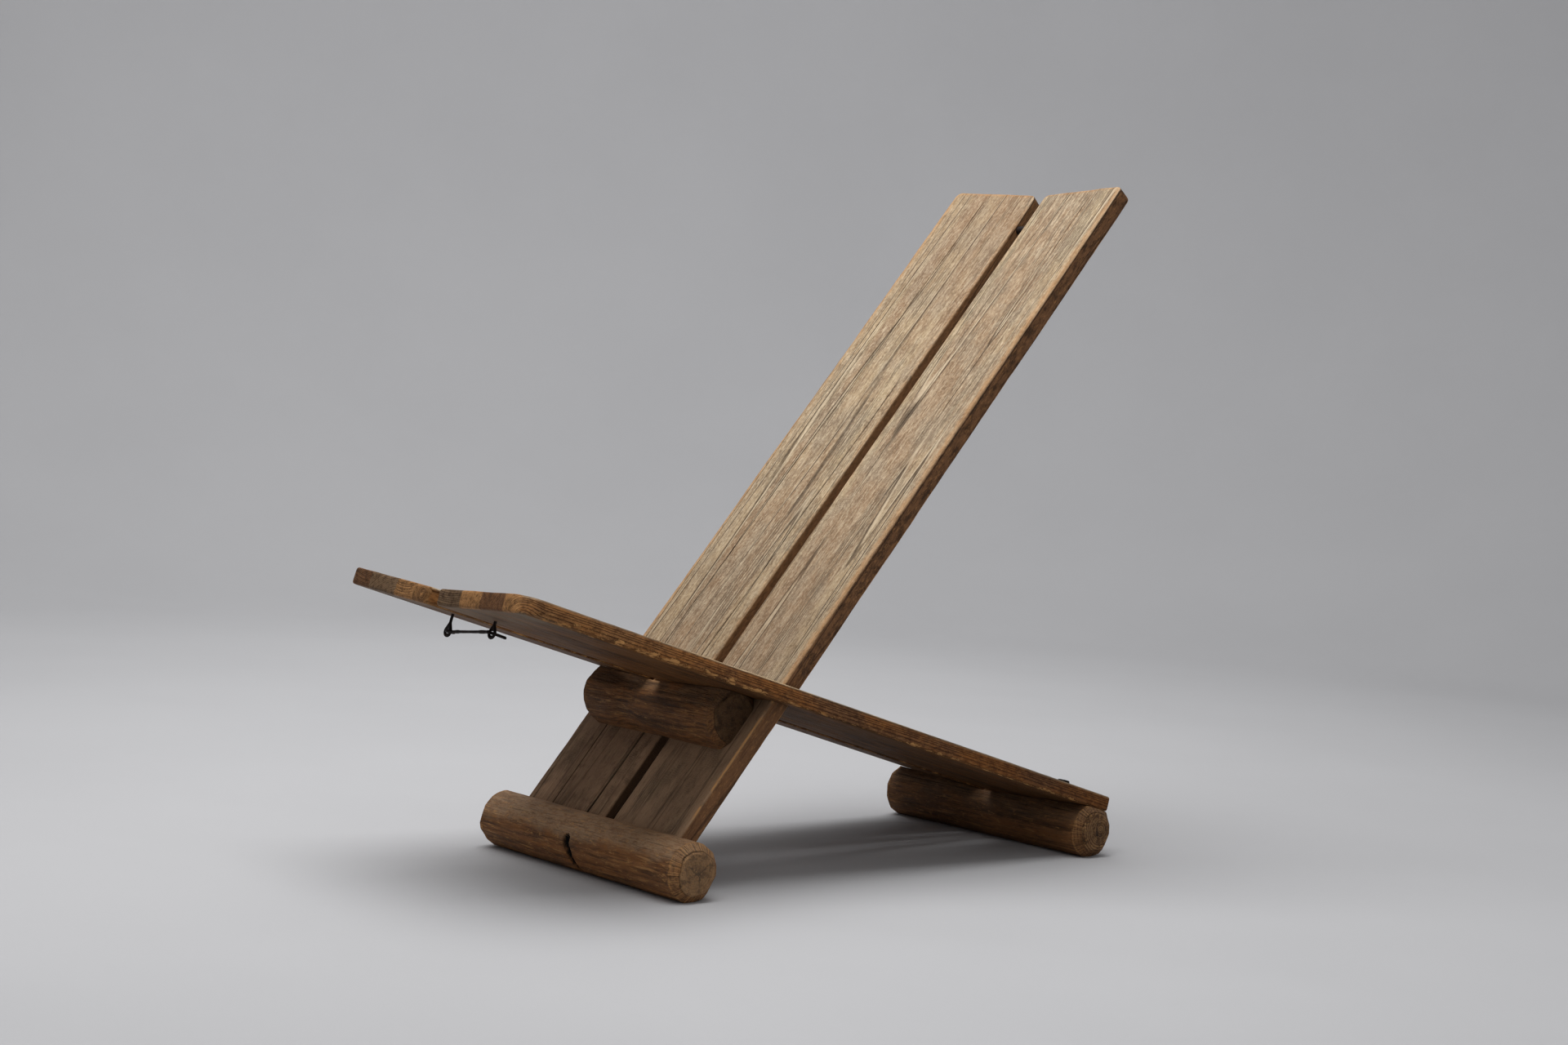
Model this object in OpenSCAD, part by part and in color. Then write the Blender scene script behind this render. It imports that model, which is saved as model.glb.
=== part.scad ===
// Low plank easy chair in two interlocking halves.
// The back half: two planks in a shallow V, housed in a log on the floor, with a hewn
// bearer log across their front. The seat half: two planks in a shallow V on a rear log,
// notched so that they slip down over the back planks until they rest on the bearer.
// A hook and two screw eyes under the front of the seat hold its planks together.
// Millimetres, Z up. The sitter faces -Y, X = 0 is the middle, Z = 0 is the floor.

/* [Floor logs] */
// Diameter of the two logs that stand on the floor
log_d = 80; // [70:1:95]
// Length of the log under the back
front_log_len = 455; // [440:5:600]
// Length of the log under the rear of the seat
rear_log_len = 430; // [425:5:600]
// Distance between the two log axes
log_spacing = 767; // [720:1:820]
// Width of the hewn chamfer round each log end
log_chamfer = 14; // [4:1:18]
// Depth of the flat that each log stands on
foot_flat = 1; // [0.5:0.25:3]

/* [Seat planks] */
// Length of a seat plank
seat_len = 1120; // [1050:5:1180]
// Width of a seat plank
seat_plank_w = 190; // [186:1:205]
// Thickness of a seat plank
seat_t = 24; // [20:0.5:30]
// Gap between the two seat planks at the sitting face
seat_gap = 22; // [12:1:30]
// Slope of the seat, falling to the rear, in degrees
seat_slope = 16; // [13:0.5:19]
// Tilt of each seat plank to make the V, in degrees
seat_vee = 3; // [1:0.25:5]
// Length of the seat behind the rear log's axis
seat_overhang = 27; // [15:1:60]
// Depth of the V flats hewn in the rear log, in the middle
seat_log_flat = 16; // [12:0.5:20]
// Corner radius at the front of the left plank's outer edge
left_corner_r = 10; // [4:1:40]
// Corner radius at the front of the right plank's outer edge
right_corner_r = 34; // [4:1:40]

/* [Back planks] */
// Length of a back plank
back_len = 1215; // [1100:5:1300]
// Width of a back plank
back_plank_w = 164; // [150:1:168]
// Thickness of a back plank
back_t = 28; // [22:0.5:32]
// Gap between the two back planks at the front face
back_gap = 18; // [10:1:24]
// Slope of the back from the floor, in degrees
back_slope = 50.3; // [47:0.1:54]
// Tilt of each back plank to make the V, in degrees
back_vee = 4.3; // [2:0.1:5]
// Distance of the back's front face ahead of the front log's axis
back_ahead = 4.8; // [0:0.2:8]
// Height of the housing's floor above the front log's axis, along the back
housing_floor = 15; // [8:1:20]
// Radius of the top corners of a back plank
back_corner_r = 12; // [4:1:30]

/* [Plank edges] */
// Radius of the eased edges along the planks and across their ends
ease_r = 3; // [1:0.5:5]
// Radius of the small corners in plan
small_corner_r = 5; // [2:0.5:10]

/* [Slots for the back] */
// Clearance of a slot beside the back plank's outer edge
slot_side = 2; // [0.5:0.25:4]
// Clearance of a slot ahead of and behind the back plank
slot_face = 1; // [0.5:0.25:3]

/* [Bearer log] */
// Diameter of the bearer log
bearer_d = 88; // [80:1:96]
// Length of the bearer log
bearer_len = 294; // [260:2:330]
// Depth of the V flats hewn against the back, in the middle
bearer_back_flat = 18; // [14:0.5:22]
// Depth of the V flats hewn under the seat, in the middle
bearer_seat_flat = 17; // [12:0.5:20]
// Width of the chamfer round each bearer end
bearer_chamfer = 12; // [4:0.5:16]
// Clearance between the bearer and the loose seat
rest_clear = 0.3; // [0.2:0.05:0.6]

/* [Coach screws] */
// Shank diameter of a coach screw
screw_d = 10; // [8:0.5:12]
// Width of the hexagon head across its flats
head_af = 17; // [15:0.5:19]
// Height of the hexagon head
head_h = 8; // [5:0.5:9]
// Diameter of a washer
washer_d = 28; // [22:1:34]
// Thickness of a washer
washer_t = 2.5; // [1.5:0.25:4]
// Length of shank that bites in a log
screw_bite = 42; // [25:1:46]
// Distance of a seat screw from its plank's inner edge
seat_screw_in = 125; // [90:1:150]
// Distance of a seat screw ahead of the rear log's axis
seat_screw_ahead = 12; // [0:1:16]
// Distance of a bearer screw from its plank's inner edge
bearer_screw_in = 84; // [60:1:110]

/* [Pegs and tie pin] */
// Diameter of the pegs through the front log and the back planks
peg_d = 12; // [8:0.5:14]
// Distance of a peg above the front log's axis, along the back
peg_up = 27; // [24:0.5:30]
// Length of peg in the log ahead of the back plank
peg_bite = 9; // [5:0.5:11]
// Diameter of the iron tie pin across the gap of the back
pin_d = 13; // [8:0.5:14]
// Length of tie pin in each back plank
pin_bite = 34; // [20:1:60]
// Distance of the tie pin below the top of the back
pin_below_top = 66; // [40:1:120]
// Depth of the tie pin's axis behind the front face
pin_depth = 12; // [9:0.5:16]

/* [Hook and eyes] */
// Wire diameter of the screw eyes and the hook
wire_d = 4; // [3:0.25:5]
// Inside diameter of a screw eye
eye_bore = 8; // [7.5:0.25:12]
// Distance of each screw eye from the middle of the chair
eye_out = 49; // [40:1:70]
// Distance of the screw eyes behind the front end of the seat
eye_back = 70; // [50:1:120]
// Drop of the left eye's centre below its plank
left_drop = 23; // [16:0.5:30]
// Drop of the right eye's centre below its plank
right_drop = 15; // [12:0.5:22]
// Length of a screw eye's shank in its plank
eye_bite = 17; // [10:0.5:18]
// Diameter of the hook's shaft and tip
hook_d = 3.6; // [2.5:0.1:3.8]
// Diameter of the forged ball at the hook's corner
hook_ball_d = 5; // [4.5:0.1:7]
// Length of the hook's tip past its eye
hook_tip = 28; // [15:1:40]

/* [Hidden] */
$fn = 64;

LEFT = -1;
RIGHT = 1;
SIDES = [LEFT, RIGHT];

// Clearance round a pin, peg or shank in its hole
snug = 0.05;
// Clearance of a housing round the end of a back plank
housing_fit = 0.2;
// Overlap that fuses two shapes of one piece
fuse = 0.5;
// Longer than anything that a cut has to pass
far = 2000;
// Distance that a cut starts outside the face it opens
over = 1;
// Diameter of the blunt point of a screw
point_d = 1;

log_r = log_d / 2;
bearer_r = bearer_d / 2;
log_axis_z = log_r - foot_flat;

// Unit vectors in the YZ plane: along the seat to its rear and out of its sitting face,
// along the back to its top and out of its front face
seat_u = [cos(seat_slope), -sin(seat_slope)];
seat_n = [sin(seat_slope), cos(seat_slope)];
back_u = [cos(back_slope), sin(back_slope)];
back_n = [-sin(back_slope), cos(back_slope)];

// Frame of the back: beside the front log's axis, on the line of the planks' inner edges
back_at = [0, log_axis_z] + back_ahead * back_n;
back_top = housing_floor + back_len;

// Frame of the seat: its front end, on the line of the planks' inner top edges
seat_under = seat_t * cos(seat_vee);
seat_log_s = seat_len - seat_overhang;
seat_at = [log_spacing, log_axis_z] + (log_r - seat_log_flat + seat_under) * seat_n
          - seat_log_s * seat_u;

// Axis of the bearer, from its two flats
back_off = back_n * back_at + bearer_r - bearer_back_flat;
seat_off = seat_n * seat_at - seat_under - rest_clear - bearer_r + bearer_seat_flat;
crossing = sin(back_slope + seat_slope);
bearer_at = [(seat_off * cos(back_slope) - back_off * cos(seat_slope)) / crossing,
             (seat_off * sin(back_slope) + back_off * sin(seat_slope)) / crossing];
bearer_s = (bearer_at - back_at) * back_u;

// The origin is the middle of the footprint of the whole chair
front_y = seat_at[0] - seat_t * sin(seat_slope)
          + ease_r * (cos(seat_slope) + sin(seat_slope) - 1);
seat_rear_y = seat_at[0] + seat_len * seat_u[0]
              + (seat_plank_w - small_corner_r) * sin(seat_vee) * seat_n[0]
              - ease_r * (cos(seat_slope) + sin(seat_slope) - 1);
back_rear_y = back_at[0] + back_top * back_u[0] - back_t * cos(back_vee) * back_n[0]
              - ease_r * (cos(back_slope) + sin(back_slope) - 1);
middle_y = (front_y + max(log_spacing + log_r, seat_rear_y, back_rear_y)) / 2;

// Screw eyes and hook, in the frame of the seat
wire_r = wire_d / 2;
eye_mid_r = eye_bore / 2 + wire_r;
hook_ring_r = wire_d + wire_r / 2;
hinge_x = -eye_out + eye_mid_r;
eye_left_z = plank_under_z(eye_out) - left_drop;
eye_right_z = plank_under_z(eye_out) - right_drop;
hook_tilt = atan((eye_right_z - eye_left_z) / (eye_out - hinge_x));
hook_reach = norm([eye_out - hinge_x, eye_right_z - eye_left_z]);
hook_lead_a = asin((hook_ball_d / 2 + wire_d) / hook_reach);
hook_tip_a = hook_tip / hook_reach * 180 / PI;

screw_tip = screw_d;
shank_hole_clear = 0.3;

// Height of a seat plank's underside at a distance from the middle, in the seat's frame
function plank_under_z(x) =
    (x - seat_gap / 2 - seat_t * sin(seat_vee)) * tan(seat_vee) - seat_under;

module place(yz) {
    translate([0, yz[0] - middle_y, yz[1]]) children();
}

// X across, Y down the seat from its front end, Z out of the sitting face
module in_seat() {
    place(seat_at) rotate([-seat_slope, 0, 0]) children();
}

// X across, Y up the back, Z out of its front face
module in_back() {
    place(back_at) rotate([back_slope, 0, 0]) children();
}

module on_side(side) {
    if (side == LEFT) mirror([1, 0, 0]) children();
    else children();
}

// As in_seat, with X from the inner edge of one plank to its outer edge
module in_seat_plank(side) {
    in_seat() on_side(side) translate([seat_gap / 2, 0, 0]) rotate([0, -seat_vee, 0]) children();
}

// As in_back, with X from the inner edge of one plank to its outer edge
module in_back_plank(side) {
    in_back() on_side(side) translate([back_gap / 2, 0, 0]) rotate([0, -back_vee, 0]) children();
}

// What is cut off a square corner at the origin to round it
module corner_scrap(r) {
    difference() {
        translate([-over, -over]) square(r + over);
        translate([r, r]) circle(r);
    }
}

// A rectangle with its corners rounded: radii at the origin, then anticlockwise
module round_rect(w, h, r) {
    difference() {
        square([w, h]);
        corner_scrap(r[0]);
        translate([w, 0]) mirror([1, 0]) corner_scrap(r[1]);
        translate([w, h]) rotate(180) corner_scrap(r[2]);
        translate([0, h]) mirror([0, 1]) corner_scrap(r[3]);
    }
}

// A plank below Z = 0, along Y, with eased edges and ends
module plank(l, w, t, corners) {
    eased = [ease_r, ease_r, ease_r, ease_r];
    intersection() {
        translate([0, 0, -t]) linear_extrude(t) round_rect(w, l, corners);
        translate([0, l, -t]) rotate([90, 0, 0]) linear_extrude(l) round_rect(w, t, eased);
        translate([0, 0, -t]) rotate([90, 0, 90]) linear_extrude(w) round_rect(l, t, eased);
    }
}

// A log along X with hewn chamfers round its ends
module log_blank(d, l, chamfer) {
    r = d / 2;
    rotate([0, 90, 0]) rotate_extrude()
        polygon([[0, -l / 2], [r - chamfer, -l / 2], [r, -l / 2 + chamfer],
                 [r, l / 2 - chamfer], [r - chamfer, l / 2], [0, l / 2]]);
}

// The flat that a log stands on
module foot_cut(log_len) {
    translate([-log_len / 2, -log_r - middle_y, -log_d]) cube([log_len, far, log_d]);
}

// Everything above the underside of the seat planks
module seat_half_spaces(gap) {
    for (side = SIDES)
        in_seat_plank(side) translate([-seat_gap / 2, -far / 2, -seat_t - gap])
            cube([far, 2 * far, far]);
}

// Everything behind the front face of the back planks
module back_half_spaces() {
    for (side = SIDES)
        in_back_plank(side) translate([-back_gap / 2, -far / 2, -far]) cube([far, 2 * far, far]);
}

// The washer on Z = 0 and the hexagon head on it, with the shank down through both
module coach_screw(grip) {
    hex_d = head_af / cos(30);
    intersection() {
        translate([0, 0, washer_t]) cylinder(d = hex_d, h = head_h, $fn = 6);
        cylinder(r1 = hex_d / 2 + head_h, r2 = head_af / 2, h = washer_t + head_h);
    }
    shank = grip + screw_bite - screw_tip;
    translate([0, 0, -shank]) cylinder(d = screw_d, h = shank + washer_t + fuse);
    translate([0, 0, -shank - screw_tip])
        cylinder(d1 = point_d, d2 = screw_d, h = screw_tip);
}

module washer() {
    difference() {
        cylinder(d = washer_d, h = washer_t);
        translate([0, 0, -over])
            cylinder(d = screw_d + 2 * shank_hole_clear, h = washer_t + 2 * over);
    }
}

// The hole for a coach screw: easy through the plank, snug in the log
module screw_hole(grip) {
    translate([0, 0, -grip]) cylinder(d = screw_d + 2 * shank_hole_clear, h = grip + washer_t);
    translate([0, 0, -grip - screw_bite])
        cylinder(d = screw_d + 2 * snug, h = screw_bite + over);
}

// Where a seat screw stands on its plank
module at_seat_screw(side) {
    in_seat_plank(side) translate([seat_screw_in, seat_log_s - seat_screw_ahead, 0]) children();
}

// Where a bearer screw stands on the rear face of its plank, pointing forwards
module at_bearer_screw(side) {
    in_back_plank(side) translate([bearer_screw_in, bearer_s, -back_t]) rotate([180, 0, 0])
        children();
}

// A peg's line, from behind the log to its blind end ahead of the plank
module peg_line(side, d) {
    in_back_plank(side) translate([back_plank_w / 2, peg_up, -back_t - log_d])
        cylinder(d = d, h = back_t + log_d + peg_bite);
}

module tie_pin_line(d, extra) {
    in_back() translate([0, back_top - pin_below_top, -pin_depth]) rotate([0, 90, 0])
        cylinder(d = d, h = back_gap + 2 * pin_bite + extra, center = true);
}

module front_log() {
    color("saddlebrown") difference() {
        place([0, log_axis_z]) log_blank(log_d, front_log_len, log_chamfer);
        foot_cut(front_log_len);
        for (side = SIDES) {
            in_back_plank(side) translate([-housing_fit, housing_floor, -back_t - housing_fit])
                cube([back_plank_w + 2 * housing_fit, log_d, back_t + 2 * housing_fit]);
            peg_line(side, peg_d + 2 * snug);
        }
    }
}

module bearer_log() {
    color("sienna") difference() {
        place(bearer_at) log_blank(bearer_d, bearer_len, bearer_chamfer);
        seat_half_spaces(rest_clear);
        back_half_spaces();
        for (side = SIDES) at_bearer_screw(side) screw_hole(back_t);
    }
}

module back_plank(side) {
    corners = [small_corner_r, small_corner_r, back_corner_r, back_corner_r];
    color("tan") difference() {
        in_back_plank(side) translate([0, housing_floor, 0])
            plank(back_len, back_plank_w, back_t, corners);
        at_bearer_screw(side) screw_hole(back_t);
        peg_line(side, peg_d + 2 * snug);
        tie_pin_line(pin_d + 2 * snug, 2 * snug);
    }
}

module back_plank_left() { back_plank(LEFT); }
module back_plank_right() { back_plank(RIGHT); }

module tie_pin() {
    color("dimgray") tie_pin_line(pin_d, 0);
}

module log_pegs() {
    color("burlywood") for (side = SIDES) intersection() {
        peg_line(side, peg_d);
        place([0, log_axis_z]) rotate([0, 90, 0])
            cylinder(d = log_d + 2 * fuse, h = front_log_len, center = true);
    }
}

module bearer_screws() {
    color("dimgray") for (side = SIDES) at_bearer_screw(side) coach_screw(back_t);
}

module bearer_washers() {
    color("gray") for (side = SIDES) at_bearer_screw(side) washer();
}

module rear_log() {
    color("saddlebrown") difference() {
        place([log_spacing, log_axis_z]) log_blank(log_d, rear_log_len, log_chamfer);
        foot_cut(rear_log_len);
        seat_half_spaces(0);
        for (side = SIDES) at_seat_screw(side) screw_hole(seat_t);
    }
}

module seat_plank(side, outer_r) {
    corners = [small_corner_r, outer_r, small_corner_r, small_corner_r];
    color("peru") difference() {
        in_seat_plank(side) plank(seat_len, seat_plank_w, seat_t, corners);
        in_back_plank(side) translate([-back_gap, 0, -back_t - slot_face])
            cube([back_gap + back_plank_w + slot_side, back_top, back_t + 2 * slot_face]);
        at_seat_screw(side) screw_hole(seat_t);
        in_seat() translate([side * eye_out, eye_back, plank_under_z(eye_out) - over])
            cylinder(d = wire_d + 2 * snug, h = eye_bite + over);
    }
}

module seat_plank_left() { seat_plank(LEFT, left_corner_r); }
module seat_plank_right() { seat_plank(RIGHT, right_corner_r); }

module seat_screws() {
    color("dimgray") for (side = SIDES) at_seat_screw(side) coach_screw(seat_t);
}

module seat_washers() {
    color("gray") for (side = SIDES) at_seat_screw(side) washer();
}

// A screw eye: its ring round Y, its stem up to the plank and its shank in it
module screw_eye(side, centre_z) {
    stem = plank_under_z(eye_out) - centre_z;
    color("dimgray") in_seat() translate([side * eye_out, eye_back, centre_z]) {
        rotate([90, 0, 0]) rotate_extrude() translate([eye_mid_r, 0]) circle(wire_r, $fn = 32);
        translate([0, 0, eye_mid_r])
            cylinder(r = wire_r, h = stem - eye_mid_r + eye_bite - wire_d);
        translate([0, 0, stem + eye_bite - wire_d])
            cylinder(r1 = wire_r, r2 = point_d / 2, h = wire_d);
    }
}

module screw_eye_left() { screw_eye(LEFT, eye_left_z); }
module screw_eye_right() { screw_eye(RIGHT, eye_right_z); }

// The hook turns round the inner limb of the left eye. Its tip is an arc about that limb.
module hook() {
    color("dimgray") in_seat() translate([hinge_x, eye_back, eye_left_z])
        rotate([0, -hook_tilt, 0]) {
            rotate_extrude() translate([hook_ring_r, 0]) circle(wire_r, $fn = 32);
            rotate([0, 0, -hook_lead_a]) {
                translate([hook_ring_r, 0, 0]) rotate([0, 90, 0])
                    cylinder(d = hook_d, h = hook_reach - hook_ring_r);
                translate([hook_reach, 0, 0]) sphere(d = hook_ball_d, $fn = 32);
                rotate_extrude(angle = hook_lead_a + hook_tip_a)
                    translate([hook_reach, 0]) circle(d = hook_d, $fn = 32);
            }
        }
}

front_log();
bearer_log();
back_plank_left();
back_plank_right();
tie_pin();
log_pegs();
bearer_screws();
bearer_washers();
rear_log();
seat_plank_left();
seat_plank_right();
seat_screws();
seat_washers();
screw_eye_left();
screw_eye_right();
hook();
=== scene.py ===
"""Dresses a plank easy chair: weathered planks, hewn logs, black iron and a stage."""

import math

import bmesh
import bpy
from bpy.props import FloatProperty, FloatVectorProperty, PointerProperty
from mathutils import Matrix, Vector, noise


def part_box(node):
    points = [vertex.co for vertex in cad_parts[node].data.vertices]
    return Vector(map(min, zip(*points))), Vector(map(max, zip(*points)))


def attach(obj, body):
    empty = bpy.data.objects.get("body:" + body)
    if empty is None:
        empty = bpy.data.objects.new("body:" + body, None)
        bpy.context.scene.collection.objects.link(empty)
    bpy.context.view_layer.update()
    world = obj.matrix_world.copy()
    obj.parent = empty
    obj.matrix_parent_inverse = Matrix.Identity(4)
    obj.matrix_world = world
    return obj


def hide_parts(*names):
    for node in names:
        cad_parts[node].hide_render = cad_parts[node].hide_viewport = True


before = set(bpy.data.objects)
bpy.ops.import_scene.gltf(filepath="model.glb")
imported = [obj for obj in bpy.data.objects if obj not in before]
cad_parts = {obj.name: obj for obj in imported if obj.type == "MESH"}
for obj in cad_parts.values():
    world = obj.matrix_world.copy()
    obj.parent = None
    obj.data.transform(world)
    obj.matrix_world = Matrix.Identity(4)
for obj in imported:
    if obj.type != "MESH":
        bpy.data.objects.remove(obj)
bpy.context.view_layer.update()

bl_info = {
    "name": "Plank Easy Chair",
    "version": (1, 0, 0),
    "blender": (4, 5, 0),
    "location": "View3D > Sidebar > Plank Chair",
    "description": "Builds the visible pieces of a two-piece plank easy chair",
    "category": "Add Mesh",
}

LEFT = -1
RIGHT = 1
FRONT_LOG_LOW, FRONT_LOG_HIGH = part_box("front_log")
REAR_LOG_LOW, REAR_LOG_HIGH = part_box("rear_log")
BEARER_LOW, BEARER_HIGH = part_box("bearer_log")
# How far a cutter reaches that takes away all there is on one side of a plane
CUT_ACROSS = 0.6
CUT_ALONG = 2.0
CUT_DEPTH = 1.0
# A distance that counts as none
TINY = 1e-6
# Share of its volume above which a carved piece counts as whole
UNCARVED = 0.995
# Edges between faces that meet at more than this stay sharp
SHARP = math.radians(28)


def srgb(red, green, blue):
    """A colour given as screen values from 0 to 255, as the linear values that Blender keeps."""
    def linear(value):
        share = value / 255
        return share / 12.92 if share <= 0.04045 else ((share + 0.055) / 1.055) ** 2.4
    return (linear(red), linear(green), linear(blue))


def length(name, description, default):
    return FloatProperty(name=name, description=description, default=default, unit="LENGTH",
                         precision=4)


def angle(name, description, degrees):
    return FloatProperty(name=name, description=description, default=math.radians(degrees),
                         subtype="ANGLE")


def colour(name, description, screen):
    return FloatVectorProperty(name=name, description=description, default=srgb(*screen),
                               subtype="COLOR", size=3, min=0.0, max=1.0)


class ChairSizes(bpy.types.PropertyGroup):
    """Sizes of the planks, logs and iron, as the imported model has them."""

    log_diameter: length("Log diameter", "Thickness of the two logs on the floor", 0.080)
    log_chamfer: length("Log chamfer", "Width of the hewn chamfer round each log end", 0.014)
    seat_length: length("Seat length", "Length of a seat plank", 1.120)
    seat_width: length("Seat plank width", "Width of one seat plank", 0.190)
    seat_thick: length("Seat thickness", "Thickness of a seat plank", 0.024)
    seat_gap: length("Seat gap", "Gap between the seat planks", 0.022)
    seat_slope: angle("Seat slope", "Fall of the seat to the rear", 16.0)
    seat_vee: angle("Seat V", "Tilt of each seat plank", 3.0)
    seat_overhang: length("Seat overhang", "Seat behind the rear log's axis", 0.027)
    seat_log_flat: length("Seat flats", "Depth of the flats in the rear log", 0.016)
    left_corner: length("Left front corner", "Radius of the left plank's front corner", 0.010)
    right_corner: length("Right front corner", "Radius of the right plank's front corner", 0.034)
    back_length: length("Back length", "Length of a back plank", 1.215)
    back_width: length("Back plank width", "Width of one back plank", 0.164)
    back_thick: length("Back thickness", "Thickness of a back plank", 0.028)
    back_gap: length("Back gap", "Gap between the back planks", 0.018)
    back_slope: angle("Back slope", "Slope of the back from the floor", 50.3)
    back_vee: angle("Back V", "Tilt of each back plank", 4.3)
    back_ahead: length("Back ahead", "Back's face ahead of the front log's axis", 0.0048)
    housing_floor: length("Housing floor", "Height of the planks' feet in the log", 0.015)
    back_corner: length("Back top corners", "Radius of the top corners of the back", 0.012)
    small_corner: length("Small corners", "Radius of the small corners in plan", 0.005)
    ease: length("Eased edge", "Radius of the eased edges", 0.003)
    slot_side: length("Slot side", "Clearance beside the back in the seat's slot", 0.002)
    slot_face: length("Slot faces", "Clearance ahead of and behind the back", 0.001)
    housing_fit: length("Housing fit", "Clearance of the back's housing", 0.0002)
    bearer_diameter: length("Bearer diameter", "Thickness of the bearer log", 0.088)
    bearer_chamfer: length("Bearer chamfer", "Width of the chamfer on the bearer's ends", 0.012)
    rest_clear: length("Seat clearance", "Clearance of the seat on its bearer", 0.0003)
    wire: length("Wire", "Wire diameter of the eyes and the hook", 0.004)
    eye_bore: length("Eye bore", "Inner diameter of the eyes", 0.008)
    eye_out: length("Eye distance", "Distance of the eyes from the middle", 0.049)
    eye_back: length("Eye place", "Distance of the eyes behind the seat's front", 0.070)
    left_drop: length("Left drop", "Drop of the left eye's middle below its plank", 0.023)
    right_drop: length("Right drop", "Drop of the right eye's middle below its plank", 0.015)
    eye_bite: length("Eye bite", "Length of an eye's shank in its plank", 0.017)
    hook_wire: length("Hook wire", "Thickness of the hook's tip", 0.0036)
    hook_ball: length("Hook ball", "Diameter of the hook's corner", 0.005)
    hook_tip: length("Hook tip", "Length of the hook's tip past its eye", 0.028)


class ChairColours(bpy.types.PropertyGroup):
    """Colours of the woods and the iron."""

    tan: colour("Tan", "Weathered face of the back, where it is warm", (184, 160, 126))
    grey: colour("Grey", "Weathered face of the back, where it is bleached", (150, 136, 116))
    # Silver also paints the highlight beside the grain lines of the weathered face
    warm: colour("Warm", "Weathered face of the back, where it is brownest", (160, 131, 101))
    silver: colour("Silver", "Raised fibres of the weathered face", (220, 200, 170))
    line: colour("Grain line", "Dark grain lines of the weathered face", (100, 78, 58))
    orange: colour("Orange", "Rubbed outer edges of the back", (188, 136, 84))
    brown: colour("Brown", "Sides of the back planks", (122, 86, 58))
    umber: colour("Umber", "Darkest stains and grain lines", (52, 36, 24))
    # The back under the seat: unbleached wood, darker partly as painted shade
    below: colour("Below", "Back planks under the seat", (148, 116, 90))
    seat_side: colour("Seat side", "Edges of the seat planks", (148, 95, 50))
    seat_line: colour("Seat line", "Growth rings in the seat's edges", (60, 34, 17))
    seat_under: colour("Seat underside", "Underside of the seat planks", (106, 73, 43))
    seat_grey: colour("Seat grey", "Weathered strips in the seat's ends", (124, 99, 74))
    seat_pale: colour("Seat pale", "Pale strips in the seat's ends", (176, 129, 82))
    worn: colour("Worn", "Pale wood where an arris is worn through", (198, 146, 90))
    log: colour("Log", "Peeled sides of the logs", (160, 108, 66))
    log_grey: colour("Log top", "Scuffed and greyed top of the logs", (168, 138, 108))
    log_end: colour("Log end", "End grain of the logs", (168, 128, 86))
    iron: colour("Iron", "Black iron", (34, 28, 27))
    rust: colour("Rust", "Rust on the iron", (66, 42, 30))
    stage: colour("Stage", "Floor and backdrop", (190, 190, 192))


class StageSettings(bpy.types.PropertyGroup):
    """Camera and light. The camera stands where the photograph was taken from."""

    camera_at: FloatVectorProperty(
        name="Camera", description="Camera's place", default=(2.603667, -2.202434, 0.626095),
        size=3, subtype="TRANSLATION", unit="LENGTH")
    camera_yaw: angle("Yaw", "Turn of the camera to the left of +Y", 48.9134)
    camera_pitch: angle("Pitch", "Tilt of the camera above the horizon", -3.6946)
    camera_roll: angle("Roll", "Roll of the camera", 3.4215)
    focal_pixels: FloatProperty(name="Focal length", default=2976.94,
                                description="Focal length in pixels of the 1920 wide image")
    centre_x: FloatProperty(name="Centre X", description="Optical centre right of the middle, "
                            "in pixels", default=15.92)
    centre_y: FloatProperty(name="Centre Y", description="Optical centre below the middle, "
                            "in pixels", default=63.84)
    lamp_power: FloatProperty(name="Lamp", description="Power of the overhead lamp in watts",
                              default=92.0, min=0.0)
    fill_power: FloatProperty(name="Fill", description="Power of the camera side lamp in watts",
                              default=12.0, min=0.0)
    wash_power: FloatProperty(name="Wash", description="Power of the backdrop's lamp in watts",
                              default=47.0, min=0.0)
    sky: FloatProperty(name="Sky", description="Strength of the even light", default=0.38, min=0.0)


# Width of the image that the camera values are measured in, and of a sensor in millimetres
IMAGE_WIDTH = 1920
SENSOR = 36.0


def sizes():
    return bpy.context.scene.chair_sizes


def colours():
    return bpy.context.scene.chair_colours


def stage_settings():
    return bpy.context.scene.chair_stage


def front_axis():
    """The middle of the front log's axis."""
    middle = (FRONT_LOG_LOW + FRONT_LOG_HIGH) / 2
    return Vector((0, middle.y, FRONT_LOG_HIGH.z - sizes().log_diameter / 2))


def rear_axis():
    middle = (REAR_LOG_LOW + REAR_LOG_HIGH) / 2
    return Vector((0, middle.y, front_axis().z))


def seat_frame():
    """X across, Y down the seat from its front end, Z out of the sitting face."""
    s = sizes()
    turn = Matrix.Rotation(-s.seat_slope, 4, "X")
    under = s.seat_thick * math.cos(s.seat_vee)
    local = Vector((0, s.seat_overhang - s.seat_length,
                    s.log_diameter / 2 - s.seat_log_flat + under))
    return Matrix.Translation(rear_axis() + turn @ local) @ turn


def back_frame():
    """X across, Y up the back from beside the front log's axis, Z out of its front face."""
    s = sizes()
    turn = Matrix.Rotation(s.back_slope, 4, "X")
    return Matrix.Translation(front_axis() + turn @ Vector((0, 0, s.back_ahead))) @ turn


def plank_frame(pair_frame, side, gap, vee):
    """As the pair's frame, with X from the inner edge of one plank to its outer edge."""
    flip = Matrix.Scale(side, 4, (1, 0, 0))
    inset = Matrix.Translation((gap / 2, 0, 0))
    return pair_frame @ flip @ inset @ Matrix.Rotation(-vee, 4, "Y")


def seat_plank_frame(side):
    return plank_frame(seat_frame(), side, sizes().seat_gap, sizes().seat_vee)


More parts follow.
